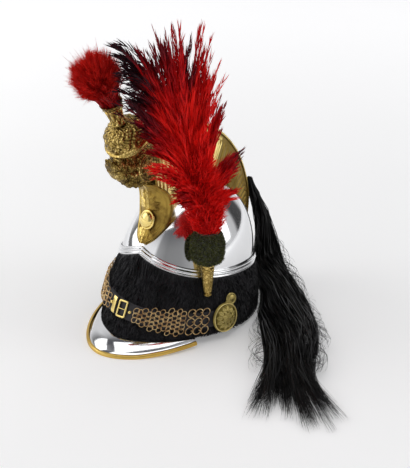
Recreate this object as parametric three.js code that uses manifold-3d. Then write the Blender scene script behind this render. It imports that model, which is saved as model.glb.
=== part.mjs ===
import * as THREE from "three";
import { mergeVertices } from "three/addons/utils/BufferGeometryUtils.js";
import Module from "manifold-3d";

// A horseman's helmet: a polished steel skull in a black fur turban, with a peak,
// a tall brass crest, a horsehair mane, a tuft, a side plume and a mail chin chain.
// Millimetres. The wearer faces -Y and the wearer's left is +X. The floor is Z = 0.

const SKULL = { halfLength: 120, halfWidth: 95, height: 134, baseHeight: 86, lean: 8.6, wall: 1.5 };
const BASE = { centreY: -19, front: 138, back: 129, side: 103, frontPower: 1.76, backPower: 2.1 };
const BASE_PLANE = { frontDrop: 19.6, pivotY: 70, run: 240 };
const MOULDING = { height: 12, backRise: 8, cuspRise: 28, cuspPower: 1.2 };
const TURBAN = { baseThick: 10, topThick: 4.2, bulge: 3, innerGap: 0.9 };
const VISOR = { front: 187, side: 113.5, centreY: -14.7, power: 1.86, halfAngle: 63, wall: 1.5 };
const VISOR_RIM = { flatHalfWidth: 50, endRise: 6.5, endWidth: 105, plateHeight: 3 };
const CREST = { bottomHalf: 14, topHalf: 5, wall: 1.5, flutes: 14, fluteRelief: 1.4,
  footStart: 40, topStart: 61, end: 160 };
const SPINE = { halfWidth: 6.5, height: 5, beads: 18, beadRelief: 1.2 };
const PLATE = { halfWidth: 32, wall: 2, borderRelief: 1.6, borderFrom: 0.82, borderTop: 0.9, sweepBack: 14 };
const BOSS = { halfWidth: 14, halfHeight: 15, depth: 8, y: -89.9, z: 182, tilt: 16 };
const PROW = { halfWidth: 21, toothDrop: 2.5, toothSwell: 1.2 };
const MEDALLION = { radius: 23, y: -106, z: 276, sunk: 3, edge: 4, border: 5, field: 3.4, crown: 4.6 };
const BULB = { y: -124, z: 317, radius: 34, height: 34, lean: 32 };
const TULIP = { y: -143, z: 347.4, height: 36, baseRadius: 11, topRadius: 17, lean: 23 };
const TUFT = { y: -184, z: 424, radius: 38, rootBack: 10, rootUp: 25, stem: 3, core: 20, lock: 11 };
const SOCKET = { length: 54, tipRadius: 5.2, topRadius: 10.5, tipX: 97.2, tipY: -66, tipZ: 73 };
const OLIVE = { x: 96.5, y: -65, z: 158, radius: 28, height: 54 };
const PUFF = { height: 92, sweep: 16, foot: 17, head: 12, swell: 13 };
const STRAP = { halfWidth: 12, thick: 1.8, gap: 0.6, left: [-20, 82], right: [-84, -4.5] };
const MAIL = { thick: 2.6, gap: 0.45, rosetteHalf: 20, buckleHalf: 10, left: [14, 62], right: [-66, -13] };
const CHAPE = { thick: 1.2, inset: 1, span: [-9.5, -5.5] };
const BUCKLE = { width: 17, height: 27, bar: 3, thick: 2.4, angle: 2.5 };
const STUD = { radius: 2.6, height: 2.2, leftAngle: 10, rightAngle: -11.5 };
const ROSETTE = { radius: 23, angle: 77, leftZ: 35, rightZ: 50, crown: 8.6 };
const EAR = { radius: 9, reach: 30, thick: 3.4, neckWidth: 11, neckThick: 3, towardY: 15, towardZ: 26.5 };
const GAP = 0.3;
const SEGMENTS = 32;

const STEEL = { color: 0xc9cbcd, roughness: 0.12, metalness: 1 };
const BRASS = { color: 0xb98f3c, roughness: 0.3, metalness: 1 };
const FUR = { color: 0x0d0c0d, roughness: 0.9, metalness: 0 };
const LEATHER = { color: 0x17161a, roughness: 0.5, metalness: 0 };
const FEATHER = { color: 0xb3101a, roughness: 0.8, metalness: 0 };
const WOOL = { color: 0x2b2f16, roughness: 0.95, metalness: 0 };
const HAIR = { color: 0x0b0a0b, roughness: 0.6, metalness: 0 };

// Crest top line, as polar points about the skull's base centre, angle up from the front.
const CREST_TOP = [
  { angle: 61, reach: 228 },
  { angle: 67, reach: 234 },
  { angle: 76, reach: 232 },
  { angle: 94, reach: 217 },
  { angle: 112, reach: 199 },
  { angle: 135, reach: 177 },
  { angle: 149, reach: 166 },
  { angle: 162, reach: 153 },
];

// Front plate, middle profile: the lower half lies on the skull, the upper half bends forward.
const PLATE_PROFILE = [
  { y: -105.4, z: 149, width: 0.12 },
  { y: -98.4, z: 158, width: 0.55 },
  { y: -88.4, z: 176, width: 0.86 },
  { y: -85.2, z: 196, width: 1.0 },
  { y: -85.2, z: 214, width: 1.0 },
  { y: -89.4, z: 230, width: 0.88 },
  { y: -97.4, z: 243, width: 0.55 },
];

// Prow, cross sections from the crest to the nose: low and high edge and half width.
const PROW_SECTIONS = [
  { y: -79.8, low: 246, high: 300, width: 0.7 },
  { y: -98, low: 246, high: 319, width: 1.0 },
  { y: -118, low: 246, high: 319, width: 1.0 },
  { y: -134, low: 252, high: 309.6, width: 0.95 },
  { y: -148, low: 265, high: 300.6, width: 0.8 },
  { y: -160, low: 281, high: 297, width: 0.6 },
  { y: -167, low: 293, high: 301, width: 0.35 },
];

// Strap centre line, by the angle round the turban from the front, left side positive.
const STRAP_LINE = [
  { angle: -84, z: 55 },
  { angle: -60, z: 63 },
  { angle: -25, z: 63 },
  { angle: 0, z: 59 },
  { angle: 22, z: 52 },
  { angle: 45, z: 44 },
  { angle: 66, z: 38 },
];

// Mane centre line from the crest to the floor, with the half width and half depth of the lock.
const MANE_LINE = [
  { x: 2, y: 153.8, z: 176, width: 5, depth: 4 },
  { x: 7, y: 164.5, z: 145, width: 9, depth: 7.5 },
  { x: 20, y: 167, z: 112, width: 12, depth: 11 },
  { x: 27, y: 170, z: 80, width: 14, depth: 14 },
  { x: 35, y: 166, z: 48, width: 17, depth: 14 },
  { x: 52, y: 152, z: 24, width: 22, depth: 14 },
  { x: 87, y: 126, z: 19, width: 27, depth: 15 },
  { x: 127, y: 88, z: 19, width: 35, depth: 16 },
  { x: 160, y: 48, z: 19, width: 42, depth: 16 },
  { x: 192, y: 14, z: 19, width: 44, depth: 16 },
  { x: 224, y: -26, z: 17, width: 40, depth: 15 },
  { x: 250, y: -72, z: 14, width: 32, depth: 12 },
];

// Where the ends of the mane locks lie, and which side of the mane each lock comes from.
const MANE_TIPS = [
  { x: 262, y: -168, side: -1.0, lift: 0 },
  { x: 278, y: -205, side: -0.7, lift: 1 },
  { x: 290, y: -218, side: -0.35, lift: 0 },
  { x: 306, y: -172, side: 0.0, lift: 1 },
  { x: 344, y: -192, side: 0.3, lift: 0 },
  { x: 392, y: -160, side: 0.65, lift: 1 },
  { x: 352, y: -128, side: 0.95, lift: 0 },
];

// Feathers of the side plume: where each tip is, where its middle bends to, and its half width.
const FEATHERS = [
  { x: 78, y: -122, z: 498, bendY: -78, width: 15 },
  { x: 84, y: -72, z: 484, bendY: -60, width: 13 },
  { x: 60, y: -150, z: 476, bendY: -96, width: 16 },
  { x: 92, y: -96, z: 456, bendY: -64, width: 17 },
  { x: 46, y: -186, z: 468, bendY: -112, width: 12 },
  { x: 56, y: -196, z: 430, bendY: -116, width: 13 },
  { x: 72, y: -176, z: 396, bendY: -112, width: 16 },
  { x: 104, y: -128, z: 404, bendY: -84, width: 18 },
  { x: 108, y: -40, z: 392, bendY: -44, width: 11 },
  { x: 112, y: 6, z: 306, bendY: -24, width: 10 },
  { x: 112, y: -84, z: 350, bendY: -66, width: 20 },
  { x: 98, y: -170, z: 334, bendY: -108, width: 11 },
  { x: 124, y: -14, z: 262, bendY: -40, width: 11 },
  { x: 128, y: -96, z: 268, bendY: -76, width: 14 },
];

// Rings of locks round the tuft: how far they open, how many, and how they are turned.
const TUFT_RINGS = [
  { open: 118, count: 5, shift: 0 },
  { open: 78, count: 4, shift: 0.5 },
  { open: 38, count: 3, shift: 0.25 },
];

const wasm = await Module();
wasm.setup();

const radians = THREE.MathUtils.degToRad;
const lerp = THREE.MathUtils.lerp;
const clamp = THREE.MathUtils.clamp;
const point = (x, y, z) => new THREE.Vector3(x, y, z);
const helmet = new THREE.Group();

// Straight interpolation down one column of a table, by its key column.
function fromTable(table, key, column, at) {
  const last = table.length - 1;
  if (at <= table[0][key]) return table[0][column];
  if (at >= table[last][key]) return table[last][column];
  const k = table.findIndex((row) => row[key] > at);
  const low = table[k - 1];
  const high = table[k];
  return lerp(low[column], high[column], (at - low[key]) / (high[key] - low[key]));
}

// A smooth run through a table's rows, for t from 0 to 1.
function alongTable(table, columns, t) {
  const rows = table.map((row) => point(...columns.map((name) => row[name])));
  return new THREE.CatmullRomCurve3(rows, false, "centripetal").getPoint(t);
}

// One closed geometry from loose triangles: joined corners, no slivers, faces pointing out.
function closed(positions) {
  const loose = new THREE.BufferGeometry();
  loose.setAttribute("position", new THREE.Float32BufferAttribute(positions, 3));
  const merged = mergeVertices(loose, 1e-3);
  const index = merged.index.array;
  const corners = [];
  for (let i = 0; i < index.length; i += 3) {
    const [a, b, c] = [index[i], index[i + 1], index[i + 2]];
    if (a !== b && b !== c && c !== a) corners.push(a, b, c);
  }
  merged.setIndex(corners);
  return volume(merged) < 0 ? flipped(merged) : merged;
}

function volume(geometry) {
  const place = geometry.getAttribute("position");
  const index = geometry.index.array;
  let six = 0;
  for (let i = 0; i < index.length; i += 3) {
    const [a, b, c] = [0, 1, 2].map((k) => new THREE.Vector3().fromBufferAttribute(place, index[i + k]));
    six += a.dot(b.cross(c));
  }
  return six / 6;
}

function flipped(geometry) {
  const index = Array.from(geometry.index.array);
  for (let i = 0; i < index.length; i += 3) {
    [index[i], index[i + 1]] = [index[i + 1], index[i]];
  }
  geometry.setIndex(index);
  return geometry;
}

function quad(out, a, b, c, d) {
  for (const p of [a, b, c, a, c, d]) out.push(p.x, p.y, p.z);
}

// A sheet with a thickness: two surfaces over u and v, joined round their edges.
// With ring set, u runs all the way round and only the v edges are joined.
function sheet(across, along, outer, inner, ring = false) {
  const out = [];
  const grid = (surface) =>
    Array.from({ length: across + 1 }, (_, i) =>
      Array.from({ length: along + 1 }, (_, j) => surface((ring ? i % across : i) / across, j / along)));
  const top = grid(outer);
  const under = grid(inner);
  for (let i = 0; i < across; i++) {
    for (let j = 0; j < along; j++) {
      quad(out, top[i][j], top[i + 1][j], top[i + 1][j + 1], top[i][j + 1]);
      quad(out, under[i][j], under[i][j + 1], under[i + 1][j + 1], under[i + 1][j]);
    }
    quad(out, top[i + 1][0], top[i][0], under[i][0], under[i + 1][0]);
    quad(out, top[i][along], top[i + 1][along], under[i + 1][along], under[i][along]);
  }
  if (!ring) {
    for (let j = 0; j < along; j++) {
      quad(out, top[0][j], top[0][j + 1], under[0][j + 1], under[0][j]);
      quad(out, top[across][j + 1], top[across][j], under[across][j], under[across][j + 1]);
    }
  }
  return closed(out);
}

// A bar with a closed section: section(t) gives its corners in space for t from 0 to 1.
function bar(steps, section, ring = false) {
  const out = [];
  const rows = Array.from({ length: steps + 1 }, (_, i) => section((ring ? i % steps : i) / steps));
  const sides = rows[0].length;
  for (let i = 0; i < steps; i++) {
    for (let k = 0; k < sides; k++) {
      const n = (k + 1) % sides;
      quad(out, rows[i][k], rows[i][n], rows[i + 1][n], rows[i + 1][k]);
    }
  }
  if (!ring) {
    cap(out, rows[0], true);
    cap(out, rows[steps], false);
  }
  return closed(out);
}

// An end face: the section's corners, cut into triangles in their own plane.
function cap(out, corners, first) {
  const normal = point(0, 0, 0);
  corners.forEach((p, k) => {
    const next = corners[(k + 1) % corners.length].clone().sub(corners[0]);
    normal.add(p.clone().sub(corners[0]).cross(next));
  });
  const flat = new THREE.Quaternion().setFromUnitVectors(normal.normalize(), point(0, 0, 1));
  const contour = corners.map((p) => {
    const q = p.clone().applyQuaternion(flat);
    return new THREE.Vector2(q.x, q.y);
  });
  for (const face of THREE.ShapeUtils.triangulateShape(contour, [])) {
    const ordered = [...face].sort((a, b) => (first ? b - a : a - b));
    for (const k of ordered) out.push(corners[k].x, corners[k].y, corners[k].z);
  }
}

// A pointed lock of hair or a feather: an oval section that swells and shrinks along a curve.
function lock(path, steps, sides, size, facing = point(0, 0, 1)) {
  return bar(steps, (t) => {
    const centre = path(t);
    const ahead = path(Math.min(t + 0.02, 1)).sub(path(Math.max(t - 0.02, 0))).normalize();
    const wide = new THREE.Vector3().crossVectors(facing, ahead).normalize();
    const deep = new THREE.Vector3().crossVectors(ahead, wide);
    const [width, depth] = size(t);
    return Array.from({ length: sides }, (_, k) => {
      const turn = (k / sides) * 2 * Math.PI;
      return centre.clone()
        .addScaledVector(wide, width * Math.cos(turn))
        .addScaledVector(deep, depth * Math.sin(turn));
    });
  });
}

function toSolid(geometry) {
  const bare = new THREE.BufferGeometry();
  bare.setAttribute("position", geometry.getAttribute("position"));
  if (geometry.index) bare.setIndex(geometry.index);
  const whole = mergeVertices(bare, 1e-3);
  return new wasm.Manifold(new wasm.Mesh({
    numProp: 3,
    vertProperties: new Float32Array(whole.getAttribute("position").array),
    triVerts: new Uint32Array(whole.index.array),
  }));
}

function fromSolid(solid) {
  const mesh = solid.getMesh();
  const geometry = new THREE.BufferGeometry();
  geometry.setAttribute("position", new THREE.Float32BufferAttribute(mesh.vertProperties, 3));
  geometry.setIndex(Array.from(mesh.triVerts));
  return geometry;
}

const fused = (geometries) => fromSolid(geometries.map(toSolid).reduce((a, b) => a.add(b)));

function add(name, geometry, finish) {
  geometry.computeVertexNormals();
  const mesh = new THREE.Mesh(geometry, new THREE.MeshStandardMaterial(finish));
  mesh.name = name;
  helmet.add(mesh);
  return mesh;
}

// The skull's own frame leans back over the floor.
const lean = radians(SKULL.lean);
const leaning = (x, y, z) => point(
  x,
  y * Math.cos(lean) + z * Math.sin(lean),
  SKULL.baseHeight - y * Math.sin(lean) + z * Math.cos(lean),
);

const power = (value, exponent) => Math.sign(value) * Math.abs(value) ** exponent;
const domePower = (angle) => 1.95 - 0.25 * Math.cos(angle);

function domePoint(angle, rise, out) {
  const n = domePower(angle);
  const up = Math.sin(rise * Math.PI / 2);
  const reach = (1 - up ** n) ** (1 / n);
  return leaning(
    (SKULL.halfWidth + out) * reach * Math.sin(angle),
    -(SKULL.halfLength + out) * reach * Math.cos(angle),
    (SKULL.height + out) * up,
  );
}

const basePlane = (y) =>
  BASE_PLANE.frontDrop * Math.max(0, (BASE_PLANE.pivotY - y) / BASE_PLANE.run);

function basePoint(angle, out) {
  const ahead = Math.cos(angle) > 0;
  const length = (ahead ? BASE.front : BASE.back) + out;
  const n = ahead ? BASE.frontPower : BASE.backPower;
  const y = BASE.centreY - length * power(Math.cos(angle), 2 / n);
  return point((BASE.side + out) * power(Math.sin(angle), 2 / n), y, basePlane(y));
}

// The steel body's surface: h from 0 at the base to 1 at the skull's own base, then 2 at its top.
const bomb = (angle, h, out) => h <= 1
  ? basePoint(angle, out).lerp(domePoint(angle, 0, out), h)
  : domePoint(angle, h - 1, out);

const heightToH = (z) => 1 + Math.asin(clamp(z / SKULL.height, 0, 1)) / (Math.PI / 2);

// Height of the moulding's middle over the skull's base: a cusp at the front, level behind.
function mouldingHeight(angle) {
  const ahead = Math.cos(angle) > 0 ? (1 - Math.abs(Math.sin(angle))) ** MOULDING.cuspPower : 0;
  return MOULDING.backRise + MOULDING.cuspRise * ahead;
}

const turn = (u) => u * 2 * Math.PI;

function skull() {
  const rows = [0, 1, 1.16, 1.32, 1.48, 1.64, 1.82, 2];
  const at = (v) => rows[Math.round(v * (rows.length - 1))];
  const surface = (out) => (u, v) => bomb(turn(u), at(v), out);
  add("skull", sheet(SEGMENTS, rows.length - 1, surface(0), surface(-SKULL.wall), true), STEEL);
}

function moulding() {
  const ribs = [
    { out: 1.2, up: -6 }, { out: 3.2, up: -6 }, { out: 4.3, up: -3.6 }, { out: 3.3, up: -1.6 },
    { out: 4.8, up: 0.6 }, { out: 3.3, up: 2.8 }, { out: 4, up: 4.6 }, { out: 2.6, up: 6 },
    { out: 1.2, up: 6 },
  ];
  add("brow_moulding", bar(SEGMENTS, (t) => ribs.map((rib) =>
    bomb(turn(t), heightToH(mouldingHeight(turn(t)) + rib.up), rib.out)), true), STEEL);
}

const turbanTop = (angle) => heightToH(mouldingHeight(angle) - MOULDING.height / 2 - GAP);

// The turban's outer face: k from 0 at the base to 1 under the moulding.
function turbanOut(angle, k, extra = 0) {
  const thick = lerp(TURBAN.baseThick, TURBAN.topThick, k) + TURBAN.bulge * Math.sin(Math.PI * k);
  return bomb(angle, k * turbanTop(angle), thick + extra);
}

function turban() {
  const rows = [0, 0.3, 0.65, 1];
  const h = (u, v) => {
    const step = Math.round(v * rows.length);
    return step < rows.length ? rows[step] : turbanTop(turn(u));
  };
  const outer = (u, v) => turbanOut(turn(u), h(u, v) / turbanTop(turn(u)));
  const inner = (u, v) => bomb(turn(u), h(u, v), TURBAN.innerGap);
  add("turban", sheet(SEGMENTS, rows.length, outer, inner, true), FUR);
}

// Rim line of the peak on the floor, and the way out from it.
const visorAngle = (u) => radians(lerp(-VISOR.halfAngle, VISOR.halfAngle, u));

function rimPoint(angle) {
  const x = VISOR.side * power(Math.sin(angle), 2 / VISOR.power);
  const y = VISOR.centreY - VISOR.front * Math.cos(angle) ** (2 / VISOR.power);
  const past = Math.max(0, Math.abs(x) - VISOR_RIM.flatHalfWidth);
  const rise = VISOR_RIM.endRise * (past / (VISOR_RIM.endWidth - VISOR_RIM.flatHalfWidth)) ** 1.5;
  return point(x, y, rise);
}

function rimOutward(angle) {
  const step = 0.01;
  const along = rimPoint(angle + step).sub(rimPoint(angle - step));
  return point(-along.y, along.x, 0).normalize().negate();
}

function fromRim(angle, out, up) {
  const p = rimPoint(angle).addScaledVector(rimOutward(angle), out);
  return point(p.x, p.y, p.z + up);
}

// The angle round the turban's base that faces a place on the rim.
function facingAngle(rimAngle) {
  const rim = rimPoint(rimAngle);
  const limit = 1.6;
  let low = -limit;
  let high = limit;
  for (let i = 0; i < 30; i++) {
    const angle = (low + high) / 2;
    const along = basePoint(angle + 0.01, TURBAN.baseThick).sub(basePoint(angle - 0.01, TURBAN.baseThick));
    if (rim.clone().sub(basePoint(angle, TURBAN.baseThick)).dot(along) > 0) low = angle;
    else high = angle;
  }
  return low;
}

const VISOR_STEPS = 22;
const FLANGE_SLOPE = 0.4;

function visor() {
  const seat = (angle, out) => {
    const p = basePoint(angle, out);
    return point(p.x, p.y, p.z - GAP - VISOR.wall);
  };
  const rows = (angle) => {
    const hidden = seat(facingAngle(angle), -SKULL.wall);
    const junction = seat(facingAngle(angle), TURBAN.baseThick);
    const room = Math.hypot(junction.x - rimPoint(angle).x, junction.y - rimPoint(angle).y);
    const width = Math.min(6, 0.62 * room);
    const low = VISOR_RIM.plateHeight - VISOR.wall / 2;
    const flange = fromRim(angle, -width, low + (width - 2) * FLANGE_SLOPE);
    const edge = fromRim(angle, -2, low);
    const belly = junction.clone().lerp(flange, 0.5);
    belly.z += 0.09 * junction.distanceTo(flange);
    return [hidden, junction, belly, flange, edge];
  };
  const under = (u, v) => rows(visorAngle(u))[Math.round(v * 4)];
  const outer = (u, v) => under(u, v).add(point(0, 0, VISOR.wall));
  add("visor", sheet(VISOR_STEPS, 4, outer, under), STEEL);
}

function visorRim() {
  const channel = [
    { out: 0.8, up: 1 }, { out: 0.8, up: 3.8 }, { out: -0.6, up: 5.2 }, { out: -3, up: 6 },
    { out: -3.2, up: 5 }, { out: -1.4, up: 4.2 }, { out: -1.4, up: 1.7 }, { out: -3.4, up: 2.3 },
    { out: -4, up: 1.4 }, { out: -4, up: 0 }, { out: 0, up: 0 },
  ];
  add("visor_rim", bar(VISOR_STEPS, (t) =>
    channel.map((corner) => fromRim(visorAngle(t), corner.out, corner.up))), BRASS);
}

// Distance from the skull's base centre to its surface, in the upright plane at x.
function skullReach(x, angle) {
  let low = 60;
  let high = 200;
  for (let i = 0; i < 30; i++) {
    const reach = (low + high) / 2;
    const y = reach * Math.cos(angle);
    const z = Math.max(0, reach * Math.sin(angle));
    const n = domePower(angle < Math.PI / 2 ? 0 : Math.PI);
    const flat = Math.hypot(x / SKULL.halfWidth, y / SKULL.halfLength);
    if (flat ** n + (z / SKULL.height) ** n > 1) high = reach;
    else low = reach;
  }
  return low;
}

const crestTop = (angle) => {
  const first = CREST_TOP[0].angle;
  const last = CREST_TOP[CREST_TOP.length - 1].angle;
  return fromTable(CREST_TOP, "angle", "reach", clamp(angle, first, last));
};

const polar = (x, angle, reach) =>
  leaning(x, -reach * Math.cos(radians(angle)), reach * Math.sin(radians(angle)));

// One flank of the crest: a pressed sheet from the skull to the ridge, with slanting flutes.
function crestFlank(name, side) {
  const steps = CREST.flutes * 2;
  const surface = (inset) => (u, v) => {
    const taper = lerp(1, 0.55, u ** 3);
    const flute = v === 0 || v === 1 ? 0 : CREST.fluteRelief * (Math.round(u * steps) % 2);
    const foot = CREST.bottomHalf * taper - inset;
    const head = CREST.topHalf * taper - inset;
    const low = lerp(CREST.footStart, CREST.end, u);
    const high = lerp(CREST.topStart, CREST.end, u ** 1.15);
    const bottom = polar(foot, low, skullReach(CREST.bottomHalf, radians(low)) + 2);
    const top = polar(head, high, crestTop(high) - SPINE.height + 1.5);
    const p = bottom.lerp(top, v);
    return point(side * (p.x + flute), p.y, p.z);
  };
  add(name, sheet(steps, 2, surface(0), surface(CREST.wall)), BRASS);
}

// The ridge: a beaded channel that closes the crest's top edge.
function crestSpine() {
  const steps = SPINE.beads * 2;
  add("crest_spine", bar(steps, (t) => {
    const angle = lerp(CREST.topStart, CREST.end, t);
    const bead = SPINE.beadRelief * (Math.round(t * steps) % 2);
    const half = SPINE.halfWidth * lerp(1, 0.7, t ** 3);
    const low = crestTop(angle) - SPINE.height + 2;
    const high = crestTop(angle) + bead;
    return [
      polar(-half, angle, low), polar(half, angle, low), polar(half, angle, high - 2),
      polar(half * 0.5, angle, high), polar(-half * 0.5, angle, high), polar(-half, angle, high - 2),
    ];
  }), BRASS);
}

// The front plate: a tongue with a raised border, bent back round the crest's front edge.
function frontPlate() {
  const across = 10;
  const along = 10;
  const surface = (inset) => (u, v) => {
    const line = alongTable(PLATE_PROFILE, ["width", "y", "z"], v);
    const s = 2 * u - 1;
    const x = s * PLATE.halfWidth * line.x;
    const edge = Math.abs(s) > PLATE.borderFrom || v > PLATE.borderTop ? PLATE.borderRelief : 0;
    return point(x, line.y + PLATE.sweepBack * (x / PLATE.halfWidth) ** 2 + inset - edge, line.z);
  };
  add("front_plate", sheet(across, along, surface(0), surface(PLATE.wall + PLATE.borderRelief)), BRASS);
}

function frontBoss() {
  const steps = 7;
  const profile = Array.from({ length: steps + 1 }, (_, k) => {
    const a = (k / steps) * Math.PI / 2;
    return new THREE.Vector2(Math.cos(a), Math.sin(a));
  });
  const shape = new THREE.LatheGeometry([new THREE.Vector2(0, 0), ...profile.slice(0, -1),
    new THREE.Vector2(0, 1)], 12);
  shape.scale(BOSS.halfWidth, BOSS.depth, BOSS.halfHeight);
  shape.rotateX(Math.PI);
  const mesh = add("front_boss", fromSolid(toSolid(shape)), BRASS);
  mesh.rotation.x = radians(-BOSS.tilt);
  mesh.position.set(0, BOSS.y, BOSS.z);
}

// The prow: carved foliage that carries the tuft, with a toothed lower edge and side medallions.
function prow() {
  const sides = [
    { wide: 0, up: 0 }, { wide: 0.55, up: 0.06 }, { wide: 0.95, up: 0.3 }, { wide: 1, up: 0.6 },
    { wide: 0.7, up: 0.92 }, { wide: 0, up: 1 }, { wide: -0.7, up: 0.92 }, { wide: -1, up: 0.6 },
    { wide: -0.95, up: 0.3 }, { wide: -0.55, up: 0.06 },
  ];
  const steps = 14;
  const body = bar(steps, (t) => {
    const line = alongTable(PROW_SECTIONS, ["y", "low", "high"], t);
    const width = alongTable(PROW_SECTIONS, ["y", "width", "low"], t).y * PROW.halfWidth;
    const tooth = Math.round(t * steps) % 2;
    return sides.map((side) => point(
      side.wide * (width + PROW.toothSwell * tooth),
      line.x,
      lerp(line.y - PROW.toothDrop * tooth, line.z, side.up),
    ));
  });
  const medallions = [-1, 1].map((side) => {
    const { radius: r, edge, border, field, crown } = MEDALLION;
    const profile = [[0, 0], [r, 0], [r, edge], [r * 0.87, border], [r * 0.78, field], [0, crown]];
    const disc = new THREE.LatheGeometry(profile.map((p) => new THREE.Vector2(...p)), 14);
    disc.rotateZ(-side * Math.PI / 2);
    disc.translate(side * (PROW.halfWidth - MEDALLION.sunk), MEDALLION.y, MEDALLION.z);
    return disc;
  });
  add("prow", fused([body, ...medallions]), BRASS);
}

function turned(profile, segments) {
  return fromSolid(toSolid(new THREE.LatheGeometry(profile.map((p) => new THREE.Vector2(...p)), segments)));
}

function bulb() {
  const cap = [[0, 0], [0.9, 0], [1, 0.04], [1.02, 0.12], [0.94, 0.18], [0.92, 0.42], [0.8, 0.68],
    [0.58, 0.88], [0.3, 0.98], [0, 1]].map(([r, h]) => [r * BULB.radius, h * BULB.height]);
  const mesh = add("bulb", turned(cap, 16), BRASS);
  mesh.rotation.x = Math.PI / 2 + radians(BULB.lean);
  mesh.position.set(0, BULB.y, BULB.z);
}

function tulip() {
  const { baseRadius: a, topRadius: b, height: h } = TULIP;
  const cup = [[0, 0], [a, 0], [a * 1.15, 2], [a * 0.86, 5], [a * 0.9, h * 0.4], [a * 1.2, h * 0.7],
    [b, h], [b - 2, h], [a * 0.9, h * 0.7], [a * 0.5, h * 0.5], [0, h * 0.5]];
  const mesh = add("tuft_socket", turned(cup, 16), BRASS);
  mesh.rotation.x = Math.PI / 2 + radians(TULIP.lean);
  mesh.position.set(0, TULIP.y, TULIP.z);
}

// The tuft: a ball of stiff hair in pointed locks that fan out of the socket.
function tuft() {
  const root = point(0, TULIP.y - TUFT.rootBack, TULIP.z + TUFT.rootUp);
  const centre = point(0, TUFT.y, TUFT.z);
  const axis = centre.clone().sub(root).normalize();
  const side = point(1, 0, 0);
  const third = new THREE.Vector3().crossVectors(axis, side);
  const tipOf = (open, around) => {
    const out = side.clone().multiplyScalar(Math.cos(around)).addScaledVector(third, Math.sin(around));
    return centre.clone()
      .addScaledVector(axis, TUFT.radius * Math.cos(open))
      .addScaledVector(out, TUFT.radius * Math.sin(open));
  };
  const coreHalf = (t) => TUFT.stem + TUFT.core * Math.sin(Math.PI * t * 0.93);
  const core = lock((t) => root.clone().lerp(centre, t * 1.45), 5, 7, (t) => [coreHalf(t), coreHalf(t)]);
  const locks = [core];
  for (const ring of TUFT_RINGS) {
    for (let k = 0; k < ring.count; k++) {
      const tip = tipOf(radians(ring.open), turn((k + ring.shift) / ring.count));
      const waist = root.clone().lerp(tip, 0.5).lerp(centre, 0.25);
      const path = new THREE.QuadraticBezierCurve3(root, waist, tip);
      const size = (t) => 1 + TUFT.lock * Math.sin(Math.PI * Math.min(t * 1.1, 1) ** 1.4);
      locks.push(lock((t) => path.getPoint(t), 4, 4, (t) => [size(t), size(t)]));
    }
  }
  add("tuft", fused(locks), FEATHER);
}

// Side plume: a brass tube on the turban, a wool olive over it, and a spray of feathers.
const OLIVE_BASE = point(OLIVE.x, OLIVE.y, OLIVE.z - OLIVE.height / 2);

function plumeSocket() {
  const { length, tipRadius: a, topRadius: b } = SOCKET;
  const tube = [[0, 0], [a, 0], [a * 1.1, 1.5], [a, 4], [b * 0.95, length - 4], [b, length - 1],
    [b, length], [0, length]];
  const mesh = add("plume_socket", turned(tube, 12), BRASS);
  const top = OLIVE_BASE.clone().sub(point(0, 0, 3 * GAP));
  const axis = top.clone().sub(point(SOCKET.tipX, SOCKET.tipY, SOCKET.tipZ)).normalize();
  mesh.quaternion.setFromUnitVectors(point(0, 1, 0), axis);
  mesh.position.copy(top).addScaledVector(axis, -length);
}

function plumeOlive() {
  const half = OLIVE.height / 2;
  const barrel = [[0, -1], [0.72, -1], [0.9, -0.8], [1, -0.35], [1, 0.3], [0.88, 0.78], [0.68, 1], [0, 1]]
    .map(([r, h]) => [r * OLIVE.radius, h * half]);
  const mesh = add("plume_olive", turned(barrel, 16), WOOL);
  mesh.rotation.x = Math.PI / 2;
  mesh.position.set(OLIVE.x, OLIVE.y, OLIVE.z);
}

function plume() {
  const foot = point(OLIVE.x, OLIVE.y - 1, OLIVE.z + OLIVE.height / 2 + 3.2);
  const puffHalf = (t) => lerp(PUFF.foot, PUFF.head, t) + PUFF.swell * Math.sin(Math.PI * t);
  const puffPath = (t) => foot.clone().add(point(0, -PUFF.sweep * t, PUFF.height * t));
  const puff = lock(puffPath, 5, 8, (t) => [puffHalf(t), puffHalf(t)]);
  const feathers = FEATHERS.map((tip) => {
    const bend = point(lerp(foot.x, tip.x, 0.4), tip.bendY, lerp(foot.z, tip.z, 0.55));
    const root = foot.clone().add(point(0, 0, 12));
    const path = new THREE.QuadraticBezierCurve3(root, bend, point(tip.x, tip.y, tip.z));
    const size = (t) => 1 + 1.35 * tip.width * Math.sin(Math.PI * t ** 0.8) ** 0.8;
    return lock((t) => path.getPoint(t), 5, 4, (t) => [size(t), 0.45 * size(t)], point(1, 0.2, 0));
  });
  add("plume", fused([puff, ...feathers]), FEATHER);
}

// A point on the turban's face at a given height, lifted off it by out.
function onTurban(angle, z, out) {
  let low = 0;
  let high = 1;
  for (let i = 0; i < 24; i++) {
    const k = (low + high) / 2;
    if (turbanOut(angle, k).z < z) low = k;
    else high = k;
  }
  return turbanOut(angle, low, out);
}

const strapZ = (angle) => fromTable(STRAP_LINE, "angle", "z", angle);

// The right half of the strap rides over the left half's tongue beside the buckle.
const overTongue = (angle) => (STRAP.thick + 2 * GAP) * clamp((angle + 32) / 10, 0, 1);

// A band bent round the turban between two angles, at a lift over it, with a half width by angle.
function turbanBand([from, to], steps, rows, lift, thick, half) {
  const at = (out) => (u, v) => {
    const angle = lerp(from, to, u);
    const z = strapZ(angle) + (2 * v - 1) * half(angle);
    return onTurban(radians(angle), z, lift(angle) + out);
  };
  return sheet(steps, rows, at(thick), at(0));
}

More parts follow.
